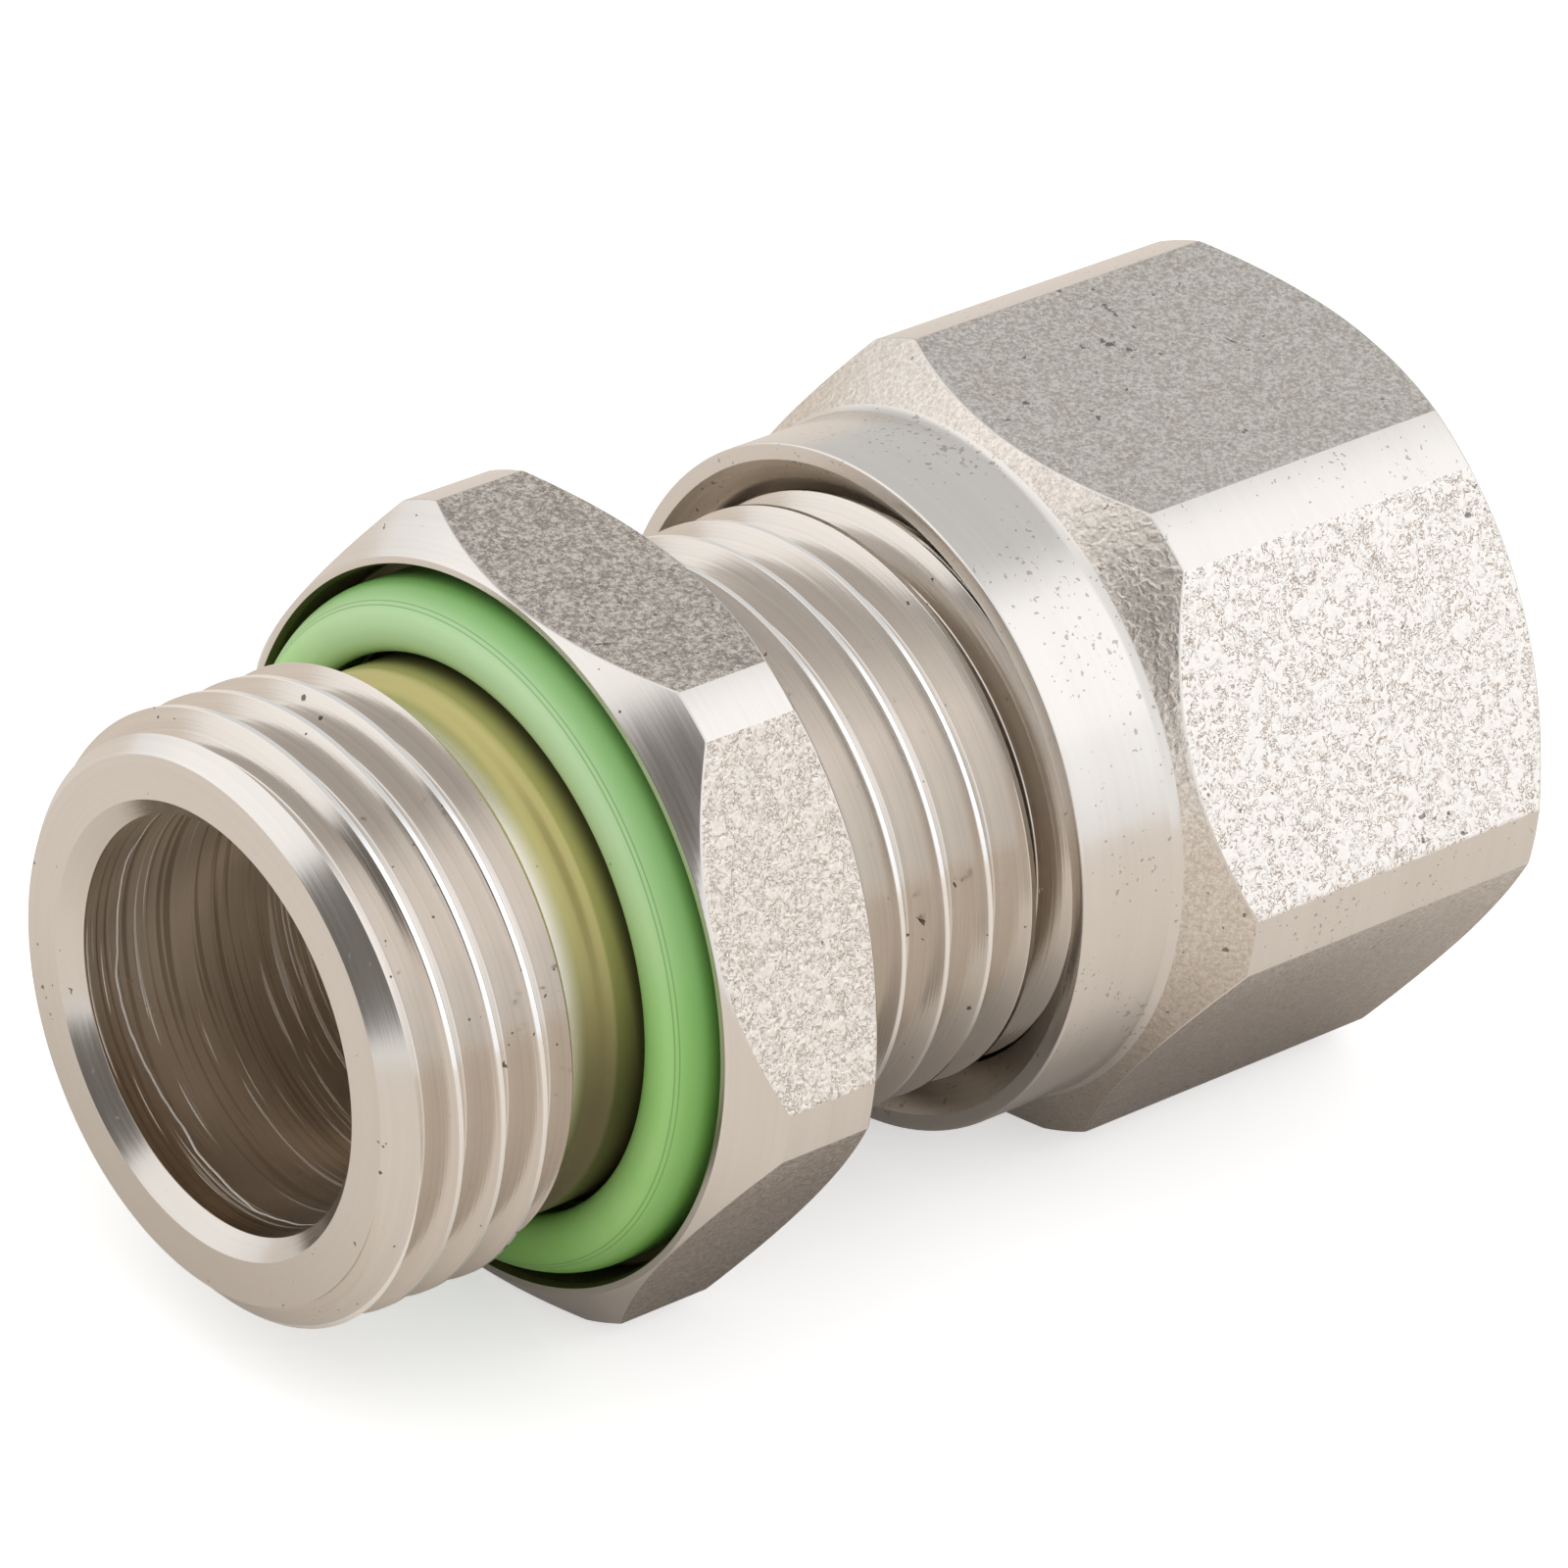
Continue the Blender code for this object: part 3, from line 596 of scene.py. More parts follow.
def rounded(points):
    """Outline from (x, radius) or (x, radius, corner radius) points, the latter made arcs.

    An open stretch of an outline starts and ends with plain points.
    """
    outline = []
    for i, point in enumerate(points):
        if len(point) == 2:
            outline.append(point)
            continue
        here = Vector(point[:2])
        before = (Vector(points[i - 1][:2]) - here).normalized()
        after = (Vector(points[(i + 1) % len(points)][:2]) - here).normalized()
        half = before.angle(after) / 2
        reach = point[2] / math.tan(half)
        centre = here + (before + after).normalized() * (point[2] / math.sin(half))
        start = here + before * reach - centre
        turn = start.angle_signed(here + after * reach - centre)
        steps = max(2, round(abs(turn) / math.radians(22)))
        for step in range(steps + 1):
            spoke = start.copy()
            spoke.rotate(Matrix.Rotation(-turn * step / steps, 2))
            outline.append(tuple(centre + spoke))
    return outline


def hexagon_columns(flat_half_angle):
    """Angles round the axis, closer together where a flat meets the turned strip beside it."""
    blend = (-3.0, -1.2, -0.4, 0.4, 1.2, 3.0)
    width = CORNER_BLEND / (BODY_CORNER_R * math.tan(flat_half_angle))
    sector = []
    for step in range(1, FLAT_COLUMNS):
        sector.append(-flat_half_angle + 2 * flat_half_angle * step / FLAT_COLUMNS)
    sector += [flat_half_angle + width * share for share in blend]
    strip = math.pi / 3 - 2 * flat_half_angle
    for step in range(1, STRIP_COLUMNS):
        sector.append(flat_half_angle + strip * step / STRIP_COLUMNS)
    sector += [math.pi / 3 - flat_half_angle + width * share for share in blend]
    return [math.pi / 2 + math.pi / 3 * side + angle for side in range(6) for angle in sector]


def off_flat(angle):
    """Angle from the nearest flat's middle; one flat faces straight up."""
    return (angle - math.pi / 2 + math.pi / 6) % (math.pi / 3) - math.pi / 6


def hexagon_radius(angle, corner_r):
    """Radius of the hexagon at an angle, its corners turned down, the two blended smoothly."""
    flat = HEX_HALF / math.cos(off_flat(angle))
    return (flat + corner_r - math.hypot(flat - corner_r, CORNER_BLEND)) / 2


def hexagon_rows(angle, corner_r, front, front_angle, rear, rear_rise, rear_angle):
    """Points from the foot of the front chamfer, over the hexagon, to the rear face's edge."""
    limit = hexagon_radius(angle, corner_r)
    foot_x, foot_r = front
    front_x = foot_x + slope(limit - foot_r, front_angle)
    rear_x = rear - slope(rear_rise - (corner_r - limit), 90 - rear_angle)
    tilt = math.radians(front_angle)
    fall = math.radians(90 - rear_angle)
    rear_break = min(EDGE_BREAK, 0.4 * (rear - rear_x))
    return [
        (foot_x, foot_r),
        (front_x - EDGE_BREAK * math.cos(tilt), limit - EDGE_BREAK * math.sin(tilt)),
        (front_x + EDGE_BREAK, limit),
        ((front_x + rear_x) / 2, limit),
        (rear_x - EDGE_BREAK, limit),
        (rear_x + rear_break * math.cos(fall), limit - rear_break * math.sin(fall)),
        (rear, corner_r - rear_rise),
    ]


def grid_piece(name, columns, rows_at, material_at, materials):
    """Closed skin from one closed outline of (x, radius) points for each angle round the axis."""
    shape = bmesh.new()
    rings = []
    for angle in columns:
        rings.append([
            shape.verts.new((NOSE_X + x, r * math.cos(angle), AXIS_Z + r * math.sin(angle)))
            for x, r in rows_at(angle)
        ])
    for i, angle in enumerate(columns):
        following = columns[(i + 1) % len(columns)]
        middle = math.atan2(math.sin(angle) + math.sin(following), math.cos(angle) + math.cos(following))
        near = rings[i]
        far = rings[(i + 1) % len(rings)]
        for row in range(len(near)):
            face = shape.faces.new((near[row - 1], near[row], far[row], far[row - 1]))
            face.material_index = material_at(row, middle)
            face.smooth = True
    if shape.calc_volume(signed=True) < 0:
        bmesh.ops.reverse_faces(shape, faces=shape.faces)
    mesh = bpy.data.meshes.new(name)
    shape.to_mesh(mesh)
    shape.free()
    for material in materials:
        mesh.materials.append(material)
    piece = bpy.data.objects.new(name, mesh)
    bpy.context.scene.collection.objects.link(piece)
    return piece


def section_object(name, depth, root_width, flank_angle, opening, inward=1.0):
    """Section of a thread groove as a closed line of (x, height over the crest) points.

    The bottom's corners and the crest's edges are rounded. inward is -1 for a thread in a nut.
    """
    lip = 0.03 * MM
    root_fillet = 0.1 * MM
    standout = 0.25 * MM
    half = root_width / 2
    flank_run = (depth - lip) * math.tan(math.radians(flank_angle))
    outer = [
        (opening / 2 + lip, standout),
        (opening / 2 + lip, 0.3 * lip),
        (half + flank_run, -lip),
        (half, -depth, root_fillet),
    ]
    points = outer + [(-point[0], *point[1:]) for point in reversed(outer)]
    mesh = bpy.data.meshes.new(name)
    outline = [(x, inward * y, 0.0) for x, y in rounded(points)]
    if inward < 0:
        outline.reverse()
    mesh.from_pydata(outline, [], [])
    return bpy.data.objects.new(name, mesh)


def make_thread_cutter():
    """Tree that winds a groove's section into a right-handed helix and cuts it from the piece."""
    tree = bpy.data.node_groups.new("cut_thread", "GeometryNodeTree")
    tree.interface.new_socket("Piece", in_out="INPUT", socket_type="NodeSocketGeometry")
    for label, kind in (
        ("Section", "Object"), ("Material", "Material"), ("Steps per Turn", "Int"), ("Turns", "Float"),
        ("Start Turn", "Float"), ("Pitch", "Float"), ("Groove X", "Float"), ("Axis Z", "Float"),
        ("Crest Radius", "Float"), ("Runout Turns", "Float"), ("Runout Rise", "Float"),
    ):
        tree.interface.new_socket(label, in_out="INPUT", socket_type="NodeSocket" + kind)
    tree.interface.new_socket("Piece", in_out="OUTPUT", socket_type="NodeSocketGeometry")
    given = tree.nodes.new("NodeGroupInput").outputs
    section = node(tree, "GeometryNodeObjectInfo", {"Object": given["Section"]}).outputs["Geometry"]
    size = node(tree, "GeometryNodeAttributeDomainSize", {"Geometry": section}).outputs["Point Count"]
    rows = calc(tree, "ADD", size, 1.0)
    length = calc(tree, "ROUND", calc(tree, "MULTIPLY", given["Turns"], given["Steps per Turn"]))
    grid = node(tree, "GeometryNodeMeshGrid", {"Vertices X": length, "Vertices Y": rows}).outputs["Mesh"]
    index = tree.nodes.new("GeometryNodeInputIndex").outputs[0]
    step = calc(tree, "FLOOR", calc(tree, "DIVIDE", index, rows))
    place = calc(tree, "MODULO", calc(tree, "SUBTRACT", index, calc(tree, "MULTIPLY", step, rows)), size)
    position = tree.nodes.new("GeometryNodeInputPosition").outputs[0]
    point = node(
        tree, "GeometryNodeSampleIndex", {"Geometry": section, "Index": place}, data_type="FLOAT_VECTOR",
    )
    tree.links.new(position, point.inputs["Value"])
    offset = node(tree, "ShaderNodeSeparateXYZ", {0: point.outputs["Value"]})
    last = calc(tree, "SUBTRACT", length, 1.0)
    at_end = calc(tree, "MAXIMUM", calc(tree, "LESS_THAN", step, 0.5), calc(
        tree, "GREATER_THAN", step, calc(tree, "SUBTRACT", last, 0.5),
    ))
    inside = calc(tree, "SUBTRACT", 1.0, at_end)
    turned = calc(tree, "DIVIDE", step, given["Steps per Turn"])
    turn = calc(tree, "ADD", turned, given["Start Turn"])
    angle = calc(tree, "MULTIPLY", turn, 2 * math.pi)
    runout = calc(tree, "SUBTRACT", 1.0, calc(tree, "DIVIDE", turned, given["Runout Turns"]))
    rise = calc(tree, "MULTIPLY", given["Runout Rise"], calc(tree, "MAXIMUM", 0.0, runout))
    height = calc(tree, "ADD", calc(tree, "MULTIPLY", offset.outputs["Y"], inside), rise)
    radius = calc(tree, "ADD", given["Crest Radius"], height)
    x = calc(tree, "ADD", calc(tree, "MULTIPLY_ADD", turn, given["Pitch"], given["Groove X"]), calc(
        tree, "MULTIPLY", offset.outputs["X"], inside,
    ))
    wound = node(tree, "ShaderNodeCombineXYZ", {
        0: x,
        1: calc(tree, "MULTIPLY", radius, calc(tree, "COSINE", angle)),
        2: calc(tree, "MULTIPLY_ADD", radius, calc(tree, "SINE", angle), given["Axis Z"]),
    }).outputs[0]
    helix = node(tree, "GeometryNodeSetPosition", {"Geometry": grid, "Position": wound}).outputs[0]
    ends = {"Geometry": helix, "Distance": 0.0005 * MM}
    closed = node(tree, "GeometryNodeMergeByDistance", ends).outputs[0]
    coat = {"Geometry": closed, "Material": given["Material"]}
    coated = node(tree, "GeometryNodeSetMaterial", coat).outputs[0]
    smooth = node(tree, "GeometryNodeSetShadeSmooth", {"Geometry": coated}).outputs[0]
    cut = node(
        tree, "GeometryNodeMeshBoolean", {"Mesh 1": given["Piece"], "Mesh 2": smooth},
        operation="DIFFERENCE", solver="EXACT",
    ).outputs["Mesh"]
    real = node(tree, "GeometryNodeRealizeInstances", {"Geometry": cut}).outputs[0]
    flanks = node(tree, "GeometryNodeMaterialSelection", {"Material": given["Material"]}).outputs[0]
    finished = node(tree, "GeometryNodeSetMaterial", {
        "Geometry": real, "Selection": flanks, "Material": given["Material"],
    }).outputs[0]
    output = tree.nodes.new("NodeGroupOutput")
    tree.links.new(finished, output.inputs[0])
    return tree


THREAD_CUTTER = make_thread_cutter()


def cut_thread(piece, section, **values):
    """Adds the thread tree to a piece; the values' names are the tree's inputs."""
    values["Section"] = section
    values["Material"] = THREAD
    values["Steps_per_Turn"] = THREAD_STEPS
    values["Axis_Z"] = AXIS_Z
    modifier = piece.modifiers.new("thread", "NODES")
    modifier.node_group = THREAD_CUTTER
    for item in THREAD_CUTTER.interface.items_tree:
        key = item.name.replace(" ", "_")
        if item.in_out == "INPUT" and key in values:
            modifier[item.identifier] = values[key]


def even_out(mesh, turned):
    """Keeps the shading of the turned materials' faces free of any tilt round the axis."""
    kept = [index for index, material in enumerate(mesh.materials) if material.name in turned]
    normals = [corner.vector.copy() for corner in mesh.corner_normals]
    for face in mesh.polygons:
        if face.material_index not in kept:
            continue
        for corner in face.loop_indices:
            spot = mesh.vertices[mesh.loops[corner].vertex_index].co
            round_axis = Vector((0.0, AXIS_Z - spot.z, spot.y)).normalized()
            tilt = normals[corner].dot(round_axis)
            normals[corner] = (normals[corner] - round_axis * tilt).normalized()
    mesh.normals_split_custom_set(normals)


def settle(piece, *sections, sharp=28.0, turned=()):
    """Turns a piece's evaluated shape into its own plain mesh, smooth but for its sharp edges.

    The shading is weighed in square millimetres, as the faces' areas are too small for it in metres.
    The groove sections that the piece was cut with are taken away.
    """
    for finishing in (False, True):
        if finishing:
            piece.data.transform(Matrix.Scale(1 / MM, 4))
            piece.data.shade_smooth()
            piece.data.set_sharp_from_angle(angle=math.radians(sharp))
            flat_faces_first = piece.modifiers.new("even_shading", "WEIGHTED_NORMAL")
            flat_faces_first.mode = "FACE_AREA"
            flat_faces_first.weight = 50
            flat_faces_first.keep_sharp = True
        graph = bpy.context.evaluated_depsgraph_get()
        mesh = bpy.data.meshes.new_from_object(piece.evaluated_get(graph), depsgraph=graph)
        piece.modifiers.clear()
        piece.data = mesh
    piece.data.transform(Matrix.Scale(MM, 4))
    if turned:
        even_out(piece.data, [material.name for material in turned])
    for section in sections:
        bpy.data.objects.remove(section)


STUD_SIDE = rounded([
    (0.0, 9.2 * MM),
    (0.0, NOSE_R, 0.06 * MM),
    (STUD_CREST_R - NOSE_R, STUD_CREST_R, 0.05 * MM),
    (STUD_THREAD_END_X, STUD_CREST_R, 0.05 * MM),
    (RELIEF_X, 10.5 * MM, 0.05 * MM),
    (RELIEF_X, RELIEF_R, 0.45 * MM),
    (RELIEF_END_X, RELIEF_R, 0.5 * MM),
    (NECK_X, NECK_R, 0.5 * MM),
    (RECESS_FLOOR_X, NECK_R, 0.15 * MM),
    (RECESS_FLOOR_X, RECESS_R, 0.15 * MM),
    (SEAL_FACE_X + RIM_EDGE_BREAK, RECESS_R, 0.1 * MM),
    (SEAL_FACE_X, RECESS_R + RIM_FLARE, 0.03 * MM),
    (SEAL_FACE_X, RECESS_R + 0.2 * MM),
])
TUBE_THREAD_X = (
    HEX_REAR_X + TUBE_RELIEF_WIDTH + slope(TUBE_CREST_R - TUBE_RELIEF_R, TUBE_RELIEF_RISE_ANGLE)
)
TUBE_SIDE = rounded([
    (HEX_REAR_X, 12.0 * MM),
    (HEX_REAR_X, TUBE_RELIEF_R, 0.2 * MM),
    (HEX_REAR_X + TUBE_RELIEF_WIDTH, TUBE_RELIEF_R, 0.1 * MM),
    (TUBE_THREAD_X, TUBE_CREST_R, 0.03 * MM),
    (BODY_END_X - TUBE_END_CHAMFER, TUBE_CREST_R, 0.05 * MM),
    (BODY_END_X, TUBE_ROOT_R - 0.1 * MM, 0.08 * MM),
    (BODY_END_X, 9.2 * MM),
])
BODY_BORE = rounded([
    (BODY_END_X, 9.1 * MM),
    (BODY_END_X, 8.75 * MM, 0.06 * MM),
    (BODY_END_X - CONE_MOUTH_BREAK, CONE_MOUTH_R, 0.06 * MM),
    (BODY_END_X - CONE_DEPTH, SOCKET_R, 0.1 * MM),
    (BODY_END_X - SOCKET_DEPTH, SOCKET_R, 0.1 * MM),
    (BODY_END_X - SOCKET_DEPTH, FLOW_BORE_R, 0.1 * MM),
    (BORE_DEPTH + slope(1.6 * MM, DRILL_POINT_HALF_ANGLE), FLOW_BORE_R, 0.1 * MM),
    (BORE_DEPTH, BORE_R, 0.15 * MM),
    (BORE_CHAMFER, BORE_R, 0.05 * MM),
    (0.0, 8.3 * MM, 0.05 * MM),
    (0.0, 8.9 * MM),
])


def body_rows(angle):
    hexagon = hexagon_rows(
        angle, BODY_CORNER_R, (SEAL_FACE_X, RIM_OUTER_R), BODY_FRONT_CHAMFER,
        HEX_REAR_X, BODY_REAR_CHAMFER_RISE, BODY_REAR_CHAMFER,
    )
    return STUD_SIDE + hexagon + TUBE_SIDE + BODY_BORE


def flat_skin(angle):
    """1 for the wrinkled flat that faces up towards the camera and the one opposite, 2 for the rest."""
    return 1 if abs(math.sin(angle - math.radians(WRINKLED_FLATS))) < 0.5 else 2


def body_material(row, angle):
    """0 turned, 1 and 2 bar skin, 3 bore, 4 neck; a row's faces lie between it and the row before."""
    first_flat = len(STUD_SIDE) + 3
    if first_flat <= row < first_flat + 2 and abs(off_flat(angle)) < FLAT_HALF_ANGLE:
        return flat_skin(angle)
    if row > len(STUD_SIDE) + 7 + len(TUBE_SIDE) and row < len(body_rows(0.0)) - 4:
        return 3
    if 0 < row < len(STUD_SIDE) - 2 and STUD_SIDE[row - 1][0] > RELIEF_X + 0.05 * MM:
        return 4
    return 0


stud_body = grid_piece(
    "stud_body_steel", hexagon_columns(FLAT_HALF_ANGLE), body_rows, body_material,
    [TURNED, WRINKLED_BAR, GRAINED_BAR, BORE, NECK],
)
stud_opening = STUD_PITCH - STUD_CREST_WIDTH
stud_depth = STUD_CREST_R - STUD_ROOT_R
stud_root = stud_opening - 2 * stud_depth * math.tan(math.radians(STUD_FLANK_ANGLE))
stud_groove = section_object("stud_groove", stud_depth, stud_root, STUD_FLANK_ANGLE, stud_opening)
cut_thread(
    stud_body, stud_groove,
    Turns=5.25, Start_Turn=-1.0, Pitch=STUD_PITCH, Groove_X=NOSE_X + STUD_GROOVE_X,
    Crest_Radius=STUD_CREST_R, Runout_Turns=0.01, Runout_Rise=0.0,
)
tube_opening = TUBE_PITCH - TUBE_CREST_WIDTH
tube_depth = TUBE_CREST_R - TUBE_ROOT_R
tube_root = tube_opening - 2 * tube_depth * math.tan(math.radians(TUBE_FLANK_ANGLE))
tube_groove = section_object("tube_groove", tube_depth, tube_root, TUBE_FLANK_ANGLE, tube_opening)
cut_thread(
    stud_body, tube_groove,
    Turns=7.72, Start_Turn=-0.1, Pitch=TUBE_PITCH, Groove_X=NOSE_X + TUBE_GROOVE_X,
    Crest_Radius=TUBE_CREST_R, Runout_Turns=0.3, Runout_Rise=tube_depth + 0.1 * MM,
)
settle(stud_body, stud_groove, tube_groove, turned=(TURNED, BORE, NECK))
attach(stud_body, "stud")
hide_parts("stud_body")


# Seal ring: one moulded ring of green elastomer, pressed over the neck into the recess. Its
# round front stands 1.3 mm proud, and a faint double parting line runs round its outer flank.
RING_GREEN = (0.40, 0.86, 0.24, 1.0)
RING_PALE = (0.62, 0.90, 0.46, 1.0)
RING_PAINTED_SHEEN = (0.88, 0.97, 0.84, 1.0)
RING_DARK = (0.17, 0.46, 0.08, 1.0)
RING_LINE = (0.08, 0.24, 0.05, 1.0)
RING_SPECK = (0.03, 0.06, 0.02, 1.0)
PARTING_LINE_R = 12.0 * MM
PARTING_LINE_GAP = 0.13 * MM
RING_INNER_R = 10.25 * MM
RING_OUTER_R = 12.65 * MM
RING_CREST_R = 11.15 * MM
RING_INNER_ROUND = 0.65 * MM
RING_OUTER_ROUND = 1.65 * MM
RING_FRONT_X = SEAL_FACE_X - 1.3 * MM
RING_BACK_X = RECESS_FLOOR_X - 0.25 * MM
RING_COLUMNS = 180


def ellipse(centre_x, centre_r, size_x, size_r, start, end, steps):
    points = []
    for step in range(steps + 1):
        angle = math.radians(start + (end - start) * step / steps)
        points.append((centre_x + size_x * math.cos(angle), centre_r + size_r * math.sin(angle)))
    return points


def ring_outline():
    """Closed outline with its highest line on the inner third and a long fall to the outside."""
    inner = ellipse(
        RING_FRONT_X + RING_INNER_ROUND, RING_CREST_R, RING_INNER_ROUND, RING_CREST_R - RING_INNER_R,
        270, 180, 10,
    )
    outer = ellipse(
        RING_FRONT_X + RING_OUTER_ROUND, RING_CREST_R, RING_OUTER_ROUND, RING_OUTER_R - RING_CREST_R,
        180, 90, 22,
    )
    back = [
        (RING_BACK_X, RING_OUTER_R, 0.25 * MM),
        (RING_BACK_X, RING_INNER_R, 0.15 * MM),
    ]
    return inner + outer[1:] + rounded([(RING_FRONT_X + 2.0 * MM, RING_OUTER_R)] + back)[1:]


def make_elastomer():
    """Satin green with pale clouds, with a painted sheen above and painted shade below, and darker outside,
    where the parting lines run.
    """
    material, tree, shader = start_material("green_elastomer")
    place = node(tree, "ShaderNodeTexCoord").outputs["Object"]
    clouds = {"Vector": place, "Scale": 120.0, "Detail": 3.0}
    cloud = node(tree, "ShaderNodeTexNoise", clouds).outputs["Fac"]
    bloom = calc(tree, "MULTIPLY", fade(tree, cloud, 0.4, 0.8), 0.5)
    colour = blend_colours(tree, bloom, RING_GREEN, RING_PALE)
    ring_place = use_group(tree, AXIS_PLACE)
    # Painted sheen: the upper part of the ring is lightened towards a pale green.
    painted_top_sheen = calc(tree, "MULTIPLY", fade(tree, ring_place["Up"], 1.0 * MM, 11.0 * MM), 0.4)
    colour = blend_colours(tree, painted_top_sheen, colour, RING_PAINTED_SHEEN)
    # Painted shade: the lower part of the ring is darkened.
    painted_bottom_shade = calc(tree, "MULTIPLY", fade(tree, ring_place["Up"], -4.0 * MM, -12.0 * MM), 0.8)
    colour = blend_colours(tree, painted_bottom_shade, colour, RING_DARK)
    radius = ring_place["Radius"]
    outside = fade(tree, radius, PARTING_LINE_R - 0.3 * MM, RING_OUTER_R)
    colour = blend_colours(tree, calc(tree, "MULTIPLY", outside, 0.85), colour, RING_DARK)
    first_line = between(tree, radius, PARTING_LINE_R, PARTING_LINE_R, 0.035 * MM)
    second_r = PARTING_LINE_R + PARTING_LINE_GAP
    second_line = between(tree, radius, second_r, second_r, 0.03 * MM)
    lines = calc(tree, "MULTIPLY", calc(tree, "MAXIMUM", first_line, second_line), 0.55)
    colour = blend_colours(tree, lines, colour, RING_LINE)
    specks = use_group(tree, PITS, Scale=1500.0, Rarity=0.78)
    colour = blend_colours(tree, calc(tree, "MULTIPLY", specks["Mask"], 0.7), colour, RING_SPECK)
    grains = {"Vector": place, "Scale": 3000.0, "Detail": 2.0}
    grain = node(tree, "ShaderNodeTexNoise", grains).outputs["Fac"]
    rough = calc(tree, "MULTIPLY_ADD", cloud, 0.15, 0.30)
    shader.inputs["IOR"].default_value = 1.6
    connect(tree, shader, colour, rough, calc(tree, "SUBTRACT", grain, lines), 0.006 * MM)
    return material


seal_ring = grid_piece(
    "seal_ring_elastomer",
    [2 * math.pi * step / RING_COLUMNS for step in range(RING_COLUMNS)],
    lambda angle: ring_outline(), lambda row, angle: 0, [make_elastomer()],
)
settle(seal_ring, sharp=35.0)
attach(seal_ring, "stud")
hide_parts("seal_ring")


# Cutting ring: a ground steel ring that lies in the nut and is pushed into the body's cone when
# the nut is tightened. It is hidden in the photo and shows only through the nut's tube hole.
RING_STEEL = turned_steel("ground_ring_steel", 9000.0, 9000.0, 0.0012 * MM, 0.3)
CUTTING_TIP_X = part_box("cutting_ring")[0].x - NOSE_X
CUTTING_REAR_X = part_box("cutting_ring")[1].x - NOSE_X
CUTTING_COLLAR_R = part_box("cutting_ring")[1].z - AXIS_Z
CUTTING_BORE_R = 7.6 * MM
CUTTING_WAIST_R = 8.85 * MM
CUTTING_WAIST_LENGTH = 6.5 * MM
CUTTING_OUTLINE = rounded([
    (CUTTING_TIP_X, CUTTING_BORE_R),
    (CUTTING_TIP_X, 8.0 * MM, 0.05 * MM),
    (CUTTING_TIP_X + 4.0 * MM, CUTTING_WAIST_R, 0.3 * MM),
    (CUTTING_TIP_X + CUTTING_WAIST_LENGTH, CUTTING_WAIST_R, 0.1 * MM),
    (CUTTING_TIP_X + CUTTING_WAIST_LENGTH, CUTTING_COLLAR_R, 0.25 * MM),
    (CUTTING_TIP_X + 8.0 * MM, CUTTING_COLLAR_R, 0.1 * MM),
    (CUTTING_REAR_X, 8.1 * MM, 0.08 * MM),
    (CUTTING_REAR_X, CUTTING_BORE_R, 0.08 * MM),
])
cutting_ring = grid_piece(
    "cutting_ring_steel",
    [2 * math.pi * step / RING_COLUMNS for step in range(RING_COLUMNS)],
    lambda angle: CUTTING_OUTLINE, lambda row, angle: 0, [RING_STEEL],
)
settle(cutting_ring)
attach(cutting_ring, "ring")
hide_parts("cutting_ring")


# Union nut: forged steel with a turned collar in front of its hexagon, a thread that fits the
# body's, and a 45 degree shoulder inside that bears on the cutting ring.
NUT_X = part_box("union_nut")[0].x - NOSE_X
NUT_END_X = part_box("union_nut")[1].x - NOSE_X
NUT_CORNER_R = 14.95 * MM
NUT_COLLAR_R = 12.85 * MM
NUT_MOUTH_R = 12.225 * MM
NUT_TIP_R = 9.95 * MM
NUT_GROOVE_R = 11.1 * MM
NUT_RELIEF_R = 11.4 * MM
NUT_HOLE_R = 7.7 * MM
NUT_COLLAR_END_X = NUT_X + 4.35 * MM
NUT_THREAD_END_X = NUT_X + 12.6 * MM
NUT_SHOULDER_X = NUT_X + 14.4 * MM
NUT_STEP = 0.5 * MM
NUT_FRONT_CHAMFER = 45.0
NUT_REAR_CHAMFER = 39.0
NUT_REAR_CHAMFER_RISE = 1.48 * MM
NUT_FLAT_HALF_ANGLE = math.acos(HEX_HALF / NUT_CORNER_R)
NUT_FRONT = rounded([
    (NUT_X, NUT_MOUTH_R + 0.35 * MM),
    (NUT_X, NUT_COLLAR_R, 0.1 * MM),
    (NUT_COLLAR_END_X, NUT_COLLAR_R, 0.6 * MM),
    (NUT_COLLAR_END_X + NUT_STEP, NUT_COLLAR_R + NUT_STEP),
])
NUT_INSIDE = rounded([
    (NUT_END_X, 11.0 * MM),
    (NUT_END_X, 8.2 * MM, 0.06 * MM),
    (NUT_END_X - 0.5 * MM, NUT_HOLE_R, 0.06 * MM),
    (NUT_X + 16.9 * MM, NUT_HOLE_R, 0.1 * MM),
    (NUT_SHOULDER_X, 10.2 * MM, 0.1 * MM),
    (NUT_SHOULDER_X, NUT_RELIEF_R, 0.15 * MM),
    (NUT_THREAD_END_X, NUT_RELIEF_R, 0.15 * MM),
    (NUT_THREAD_END_X, NUT_TIP_R, 0.05 * MM),
    (NUT_X + NUT_MOUTH_R - NUT_TIP_R, NUT_TIP_R, 0.05 * MM),
    (NUT_X, NUT_MOUTH_R, 0.06 * MM),
    (NUT_X, NUT_MOUTH_R + 0.2 * MM),
])


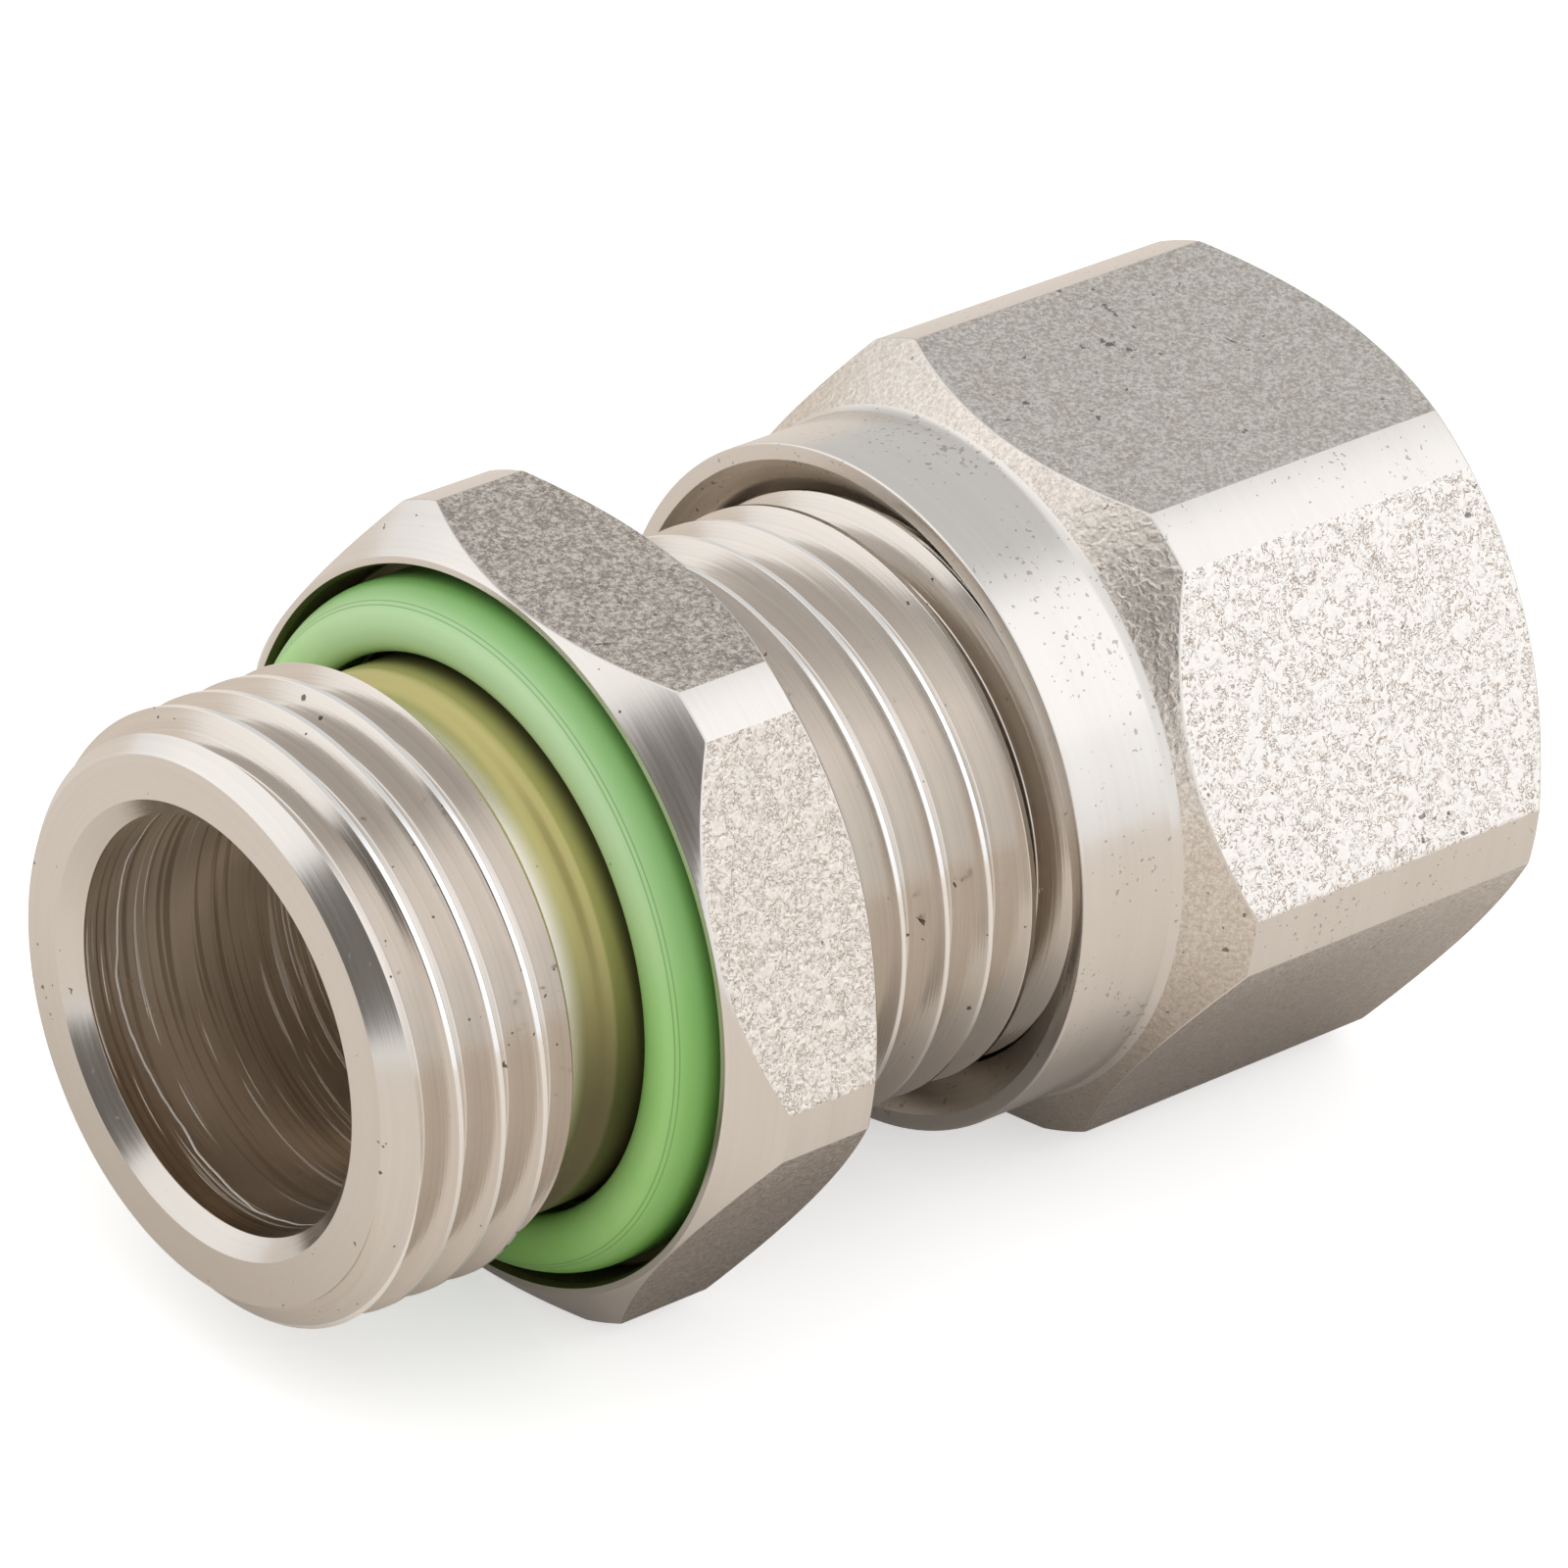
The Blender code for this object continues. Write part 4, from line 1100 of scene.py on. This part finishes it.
NUT_TURNED = turned_steel(
    "nut_turned_steel", 3500.0, 3500.0, 0.0022 * MM, 0.2, shade=0.2, rarity=0.69, spread=330.0,
    scale=3900.0, pit=0.4,
)
NUT_PITTED_BAR = bar_steel(
    "nut_pitted_steel", 2500.0, 0.022 * MM, 0.28, 0.85, 0.1, 0.73, (0.94, 0.91, 0.875, 1.0),
    (0.46, 0.35, 0.26, 1.0), wrinkles=0.9, grain=0.1,
)
NUT_GRAINED_BAR = bar_steel(
    "nut_grained_steel", 2900.0, 0.035 * MM, 0.34, 0.5, 0.7, 0.72, (0.82, 0.79, 0.75, 1.0),
    (0.36, 0.31, 0.27, 1.0), wrinkles=0.2, grain=0.4,
)
NUT_SHOULDER = bar_steel(
    "nut_shoulder_steel", 2700.0, 0.03 * MM, 0.28, 0.3, 0.4, 0.72, (0.82, 0.77, 0.71, 1.0),
    (0.36, 0.30, 0.25, 1.0), wrinkles=0.1, grain=0.3,
)
# Inside the nut: a near-black tint, painted shade for the dark inside of the thread.
NUT_INNER = turned_steel(
    "nut_inner_steel", 5000.0, 5000.0, 0.004 * MM, 0.3, shade=0.5, rarity=0.70,
    tint=(0.18, 0.15, 0.12, 1.0),
)
NUT_MOUTH = turned_steel(
    "nut_mouth_steel", 6500.0, 6500.0, 0.006 * MM, 0.33, shade=0.6, rarity=0.66,
    tint=(0.80, 0.72, 0.62, 1.0), spread=500.0, scale=3600.0, pit=0.6,
)


def nut_rows(angle):
    hexagon = hexagon_rows(
        angle, NUT_CORNER_R, (NUT_COLLAR_END_X + NUT_STEP, NUT_COLLAR_R + NUT_STEP), NUT_FRONT_CHAMFER,
        NUT_END_X, NUT_REAR_CHAMFER_RISE, NUT_REAR_CHAMFER,
    )
    return NUT_FRONT[:-1] + hexagon + NUT_INSIDE


def nut_material(row, angle):
    """0 turned, 1 and 2 bar skin, 3 shoulder in front of the hexagon, 4 inside, 5 mouth."""
    shoulder = len(NUT_FRONT) - 1
    last_row = len(nut_rows(0.0)) - 1
    if shoulder + 3 <= row < shoulder + 5 and abs(off_flat(angle)) < NUT_FLAT_HALF_ANGLE:
        return flat_skin(angle)
    if shoulder <= row <= shoulder + 1:
        return 3
    if last_row - 4 < row < last_row - 1:
        return 5
    if shoulder + 11 < row < last_row - 1:
        return 4
    return 0


union_nut = grid_piece(
    "union_nut_steel", hexagon_columns(NUT_FLAT_HALF_ANGLE), nut_rows, nut_material,
    [NUT_TURNED, NUT_PITTED_BAR, NUT_GRAINED_BAR, NUT_SHOULDER, NUT_INNER, NUT_MOUTH],
)
side_play = 0.32 * MM
ridge_width = 0.25 * MM
nut_depth = NUT_GROOVE_R - NUT_TIP_R
flank_run = math.tan(math.radians(TUBE_FLANK_ANGLE))
nut_root = ridge_width - 2 * (NUT_GROOVE_R - TUBE_CREST_R) * flank_run + side_play
nut_groove = section_object(
    "nut_groove", nut_depth, nut_root, TUBE_FLANK_ANGLE, nut_root + 2 * nut_depth * flank_run,
    inward=-1.0,
)
cut_thread(
    union_nut, nut_groove,
    Turns=7.3, Start_Turn=3.0, Pitch=TUBE_PITCH, Groove_X=NOSE_X + TUBE_GROOVE_X + TUBE_PITCH / 2,
    Crest_Radius=NUT_TIP_R, Runout_Turns=0.01, Runout_Rise=0.0,
)
settle(union_nut, nut_groove, turned=(NUT_TURNED, NUT_SHOULDER, NUT_INNER, NUT_MOUTH))
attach(union_nut, "nut")
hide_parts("union_nut")
